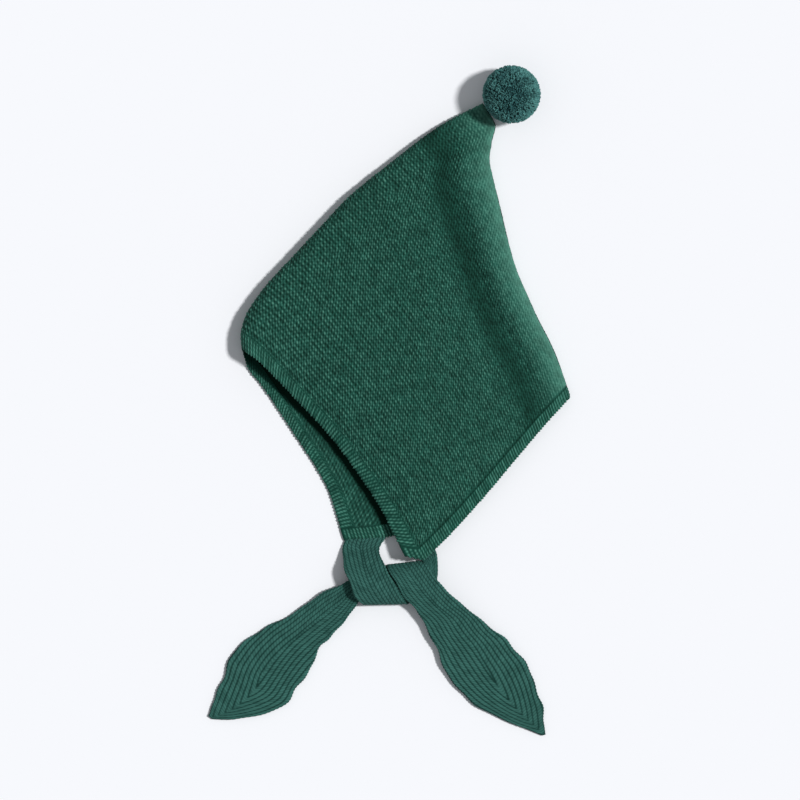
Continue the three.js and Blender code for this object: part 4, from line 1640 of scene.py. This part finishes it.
@dataclass(frozen=True)
class SewnEdge:
    """Where the far tie is sewn along the far neck edge, by the chin."""

    lie: FoldedHood
    knot: Knot = Knot()
    under_band: float = 1.2

    @property
    def share(self) -> float:
        """The tie's width as a share of the neck edge."""
        return self.knot.strap_width / self.lie.neck[Layer.FAR].length

    def ends(self) -> np.ndarray:
        """The two ends of the seam."""
        return self.lie.neck[Layer.FAR].point(np.array([0.0, self.share]))

    def station(self) -> Station:
        """The tie's first section, flat on the table.

        Returns:
            The section from the chin's end of the seam to its other end.
        """
        start, end = self.ends()
        run = end - start
        wide = self.knot.strap_width
        root = ((start + end) / 2 - self.knot.centre(self.lie)) / wide
        turn = math.degrees(math.atan2(run[1], run[0]))
        return Station(float(root[0]), float(root[1]), 0.0, float(np.linalg.norm(run)) / wide, turn)

    def points(self, along: np.ndarray) -> Points:
        """The seam at shares of the tie's width.

        Args:
            along: Shares of the tie's width.

        Returns:
            Points in the forehead's frame.
        """
        start, end = self.ends()
        run = end - start
        out = unit(vector(run[1], -run[0])) * (self.lie.gap - self.under_band)
        flat = self.lie.neck[Layer.FAR].point(self.share * along) + out
        return np.column_stack([flat, np.full(len(flat), self.knot.thickness / 2)])


def make_ties(lie: FoldedHood, knitting: Knitting) -> tuple[Tie, Tie]:
    """Set out both ties: the far one from its seam, the near one from inside its chin.

    Args:
        lie: The folded hood.
        knitting: The knit of the whole hat.

    Returns:
        The far tie and the near one.
    """
    seam = SewnEdge(lie)
    knot = seam.knot
    under = float(lie.near_top(np.zeros(1), np.ones(1))[0]) - lie.band_wall - lie.gap
    tucked = replace(NEAR_STATIONS[0], lift=(under - knot.thickness) / knot.height)
    return (
        Tie("tie_far_knit", "tie_far", lie, knitting, (seam.station(), *FAR_STATIONS), seam.points),
        Tie("tie_near_knit", "tie_near", lie, knitting, (tucked, *NEAR_STATIONS[1:])),
    )


@dataclass(frozen=True)
class Studio:
    """A pale table, soft light from the right and a camera straight above."""

    key_towards: tuple[float, float, float] = (0.57, 0.10, 0.81)
    key_strength: float = 2.85
    key_softness: float = 7.0
    fill_strength: float = 0.32
    camera_height: float = 10.0
    view_width: float = 0.544
    aim: tuple[float, float] = (0.0075, 0.0)
    sensor_width: float = 36.0
    floor_size: float = 3.0
    floor_color: tuple[float, float, float, float] = (0.9, 0.905, 0.93, 1.0)
    sky_color: tuple[float, float, float, float] = (0.93, 0.96, 1.0, 1.0)

    def set_up(self) -> None:
        """Make the floor, the lights and the camera."""
        bpy.context.scene.view_settings.view_transform = "Standard"
        self.lay_floor()
        self.light()
        self.aim_camera()

    def lay_floor(self) -> None:
        """Lay the pale table."""
        sheet = bmesh.new()
        bmesh.ops.create_grid(sheet, x_segments=1, y_segments=1, size=self.floor_size)
        mesh = bpy.data.meshes.new("floor")
        sheet.to_mesh(mesh)
        sheet.free()
        floor = stand("floor", mesh)
        paint = bpy.data.materials.new("pale_table")
        paint.use_nodes = True
        shader = paint.node_tree.nodes["Principled BSDF"]
        shader.inputs["Base Color"].default_value = self.floor_color
        shader.inputs["Roughness"].default_value = 0.9
        shader.inputs["Specular IOR Level"].default_value = 0.1
        mesh.materials.append(paint)

    def light(self) -> None:
        """Hang the soft key light from the right and fill in all round."""
        scene = bpy.context.scene
        key = bpy.data.lights.new("key", "SUN")
        key.energy = self.key_strength
        key.angle = math.radians(self.key_softness)
        key_object = bpy.data.objects.new("key", key)
        key_object.rotation_euler = Vector(self.key_towards).to_track_quat("Z", "Y").to_euler()
        scene.collection.objects.link(key_object)
        world = bpy.data.worlds.new("studio")
        world.use_nodes = True
        backdrop = world.node_tree.nodes["Background"]
        backdrop.inputs["Color"].default_value = self.sky_color
        backdrop.inputs["Strength"].default_value = self.fill_strength
        scene.world = world

    def aim_camera(self) -> None:
        """Look straight down from far off through a long lens."""
        scene = bpy.context.scene
        lens = bpy.data.cameras.new("camera")
        lens.sensor_width = self.sensor_width
        lens.lens = lens.sensor_width * self.camera_height / self.view_width
        lens.clip_start = 1.0
        lens.clip_end = 2 * self.camera_height
        camera = bpy.data.objects.new("camera", lens)
        camera.location = (*self.aim, self.camera_height)
        scene.collection.objects.link(camera)
        scene.camera = camera


def main() -> None:
    """Build and dress every piece, then light and frame the hat."""
    logging.basicConfig(level=logging.INFO, format="%(name)s: %(message)s")
    lie = FoldedHood()
    knitting = Knitting(SEED)
    Studio().set_up()
    far_tie, near_tie = make_ties(lie, knitting)
    assemblies = (
        (Hood(lie, knitting), HOOD_YARN),
        (face_band(lie, knitting), BAND_YARN),
        (neck_band(lie, knitting), BAND_YARN),
        (far_tie, TIE_YARN),
        (near_tie, TIE_YARN),
        (Pompom(), POMPOM_YARN),
        (Binding(), BINDING_YARN_IN_PAINTED_SHADE),
    )
    for assembly, yarn in assemblies:
        assembly.build()
        assembly.dress(yarn)


if __name__ == "__main__":
    main()
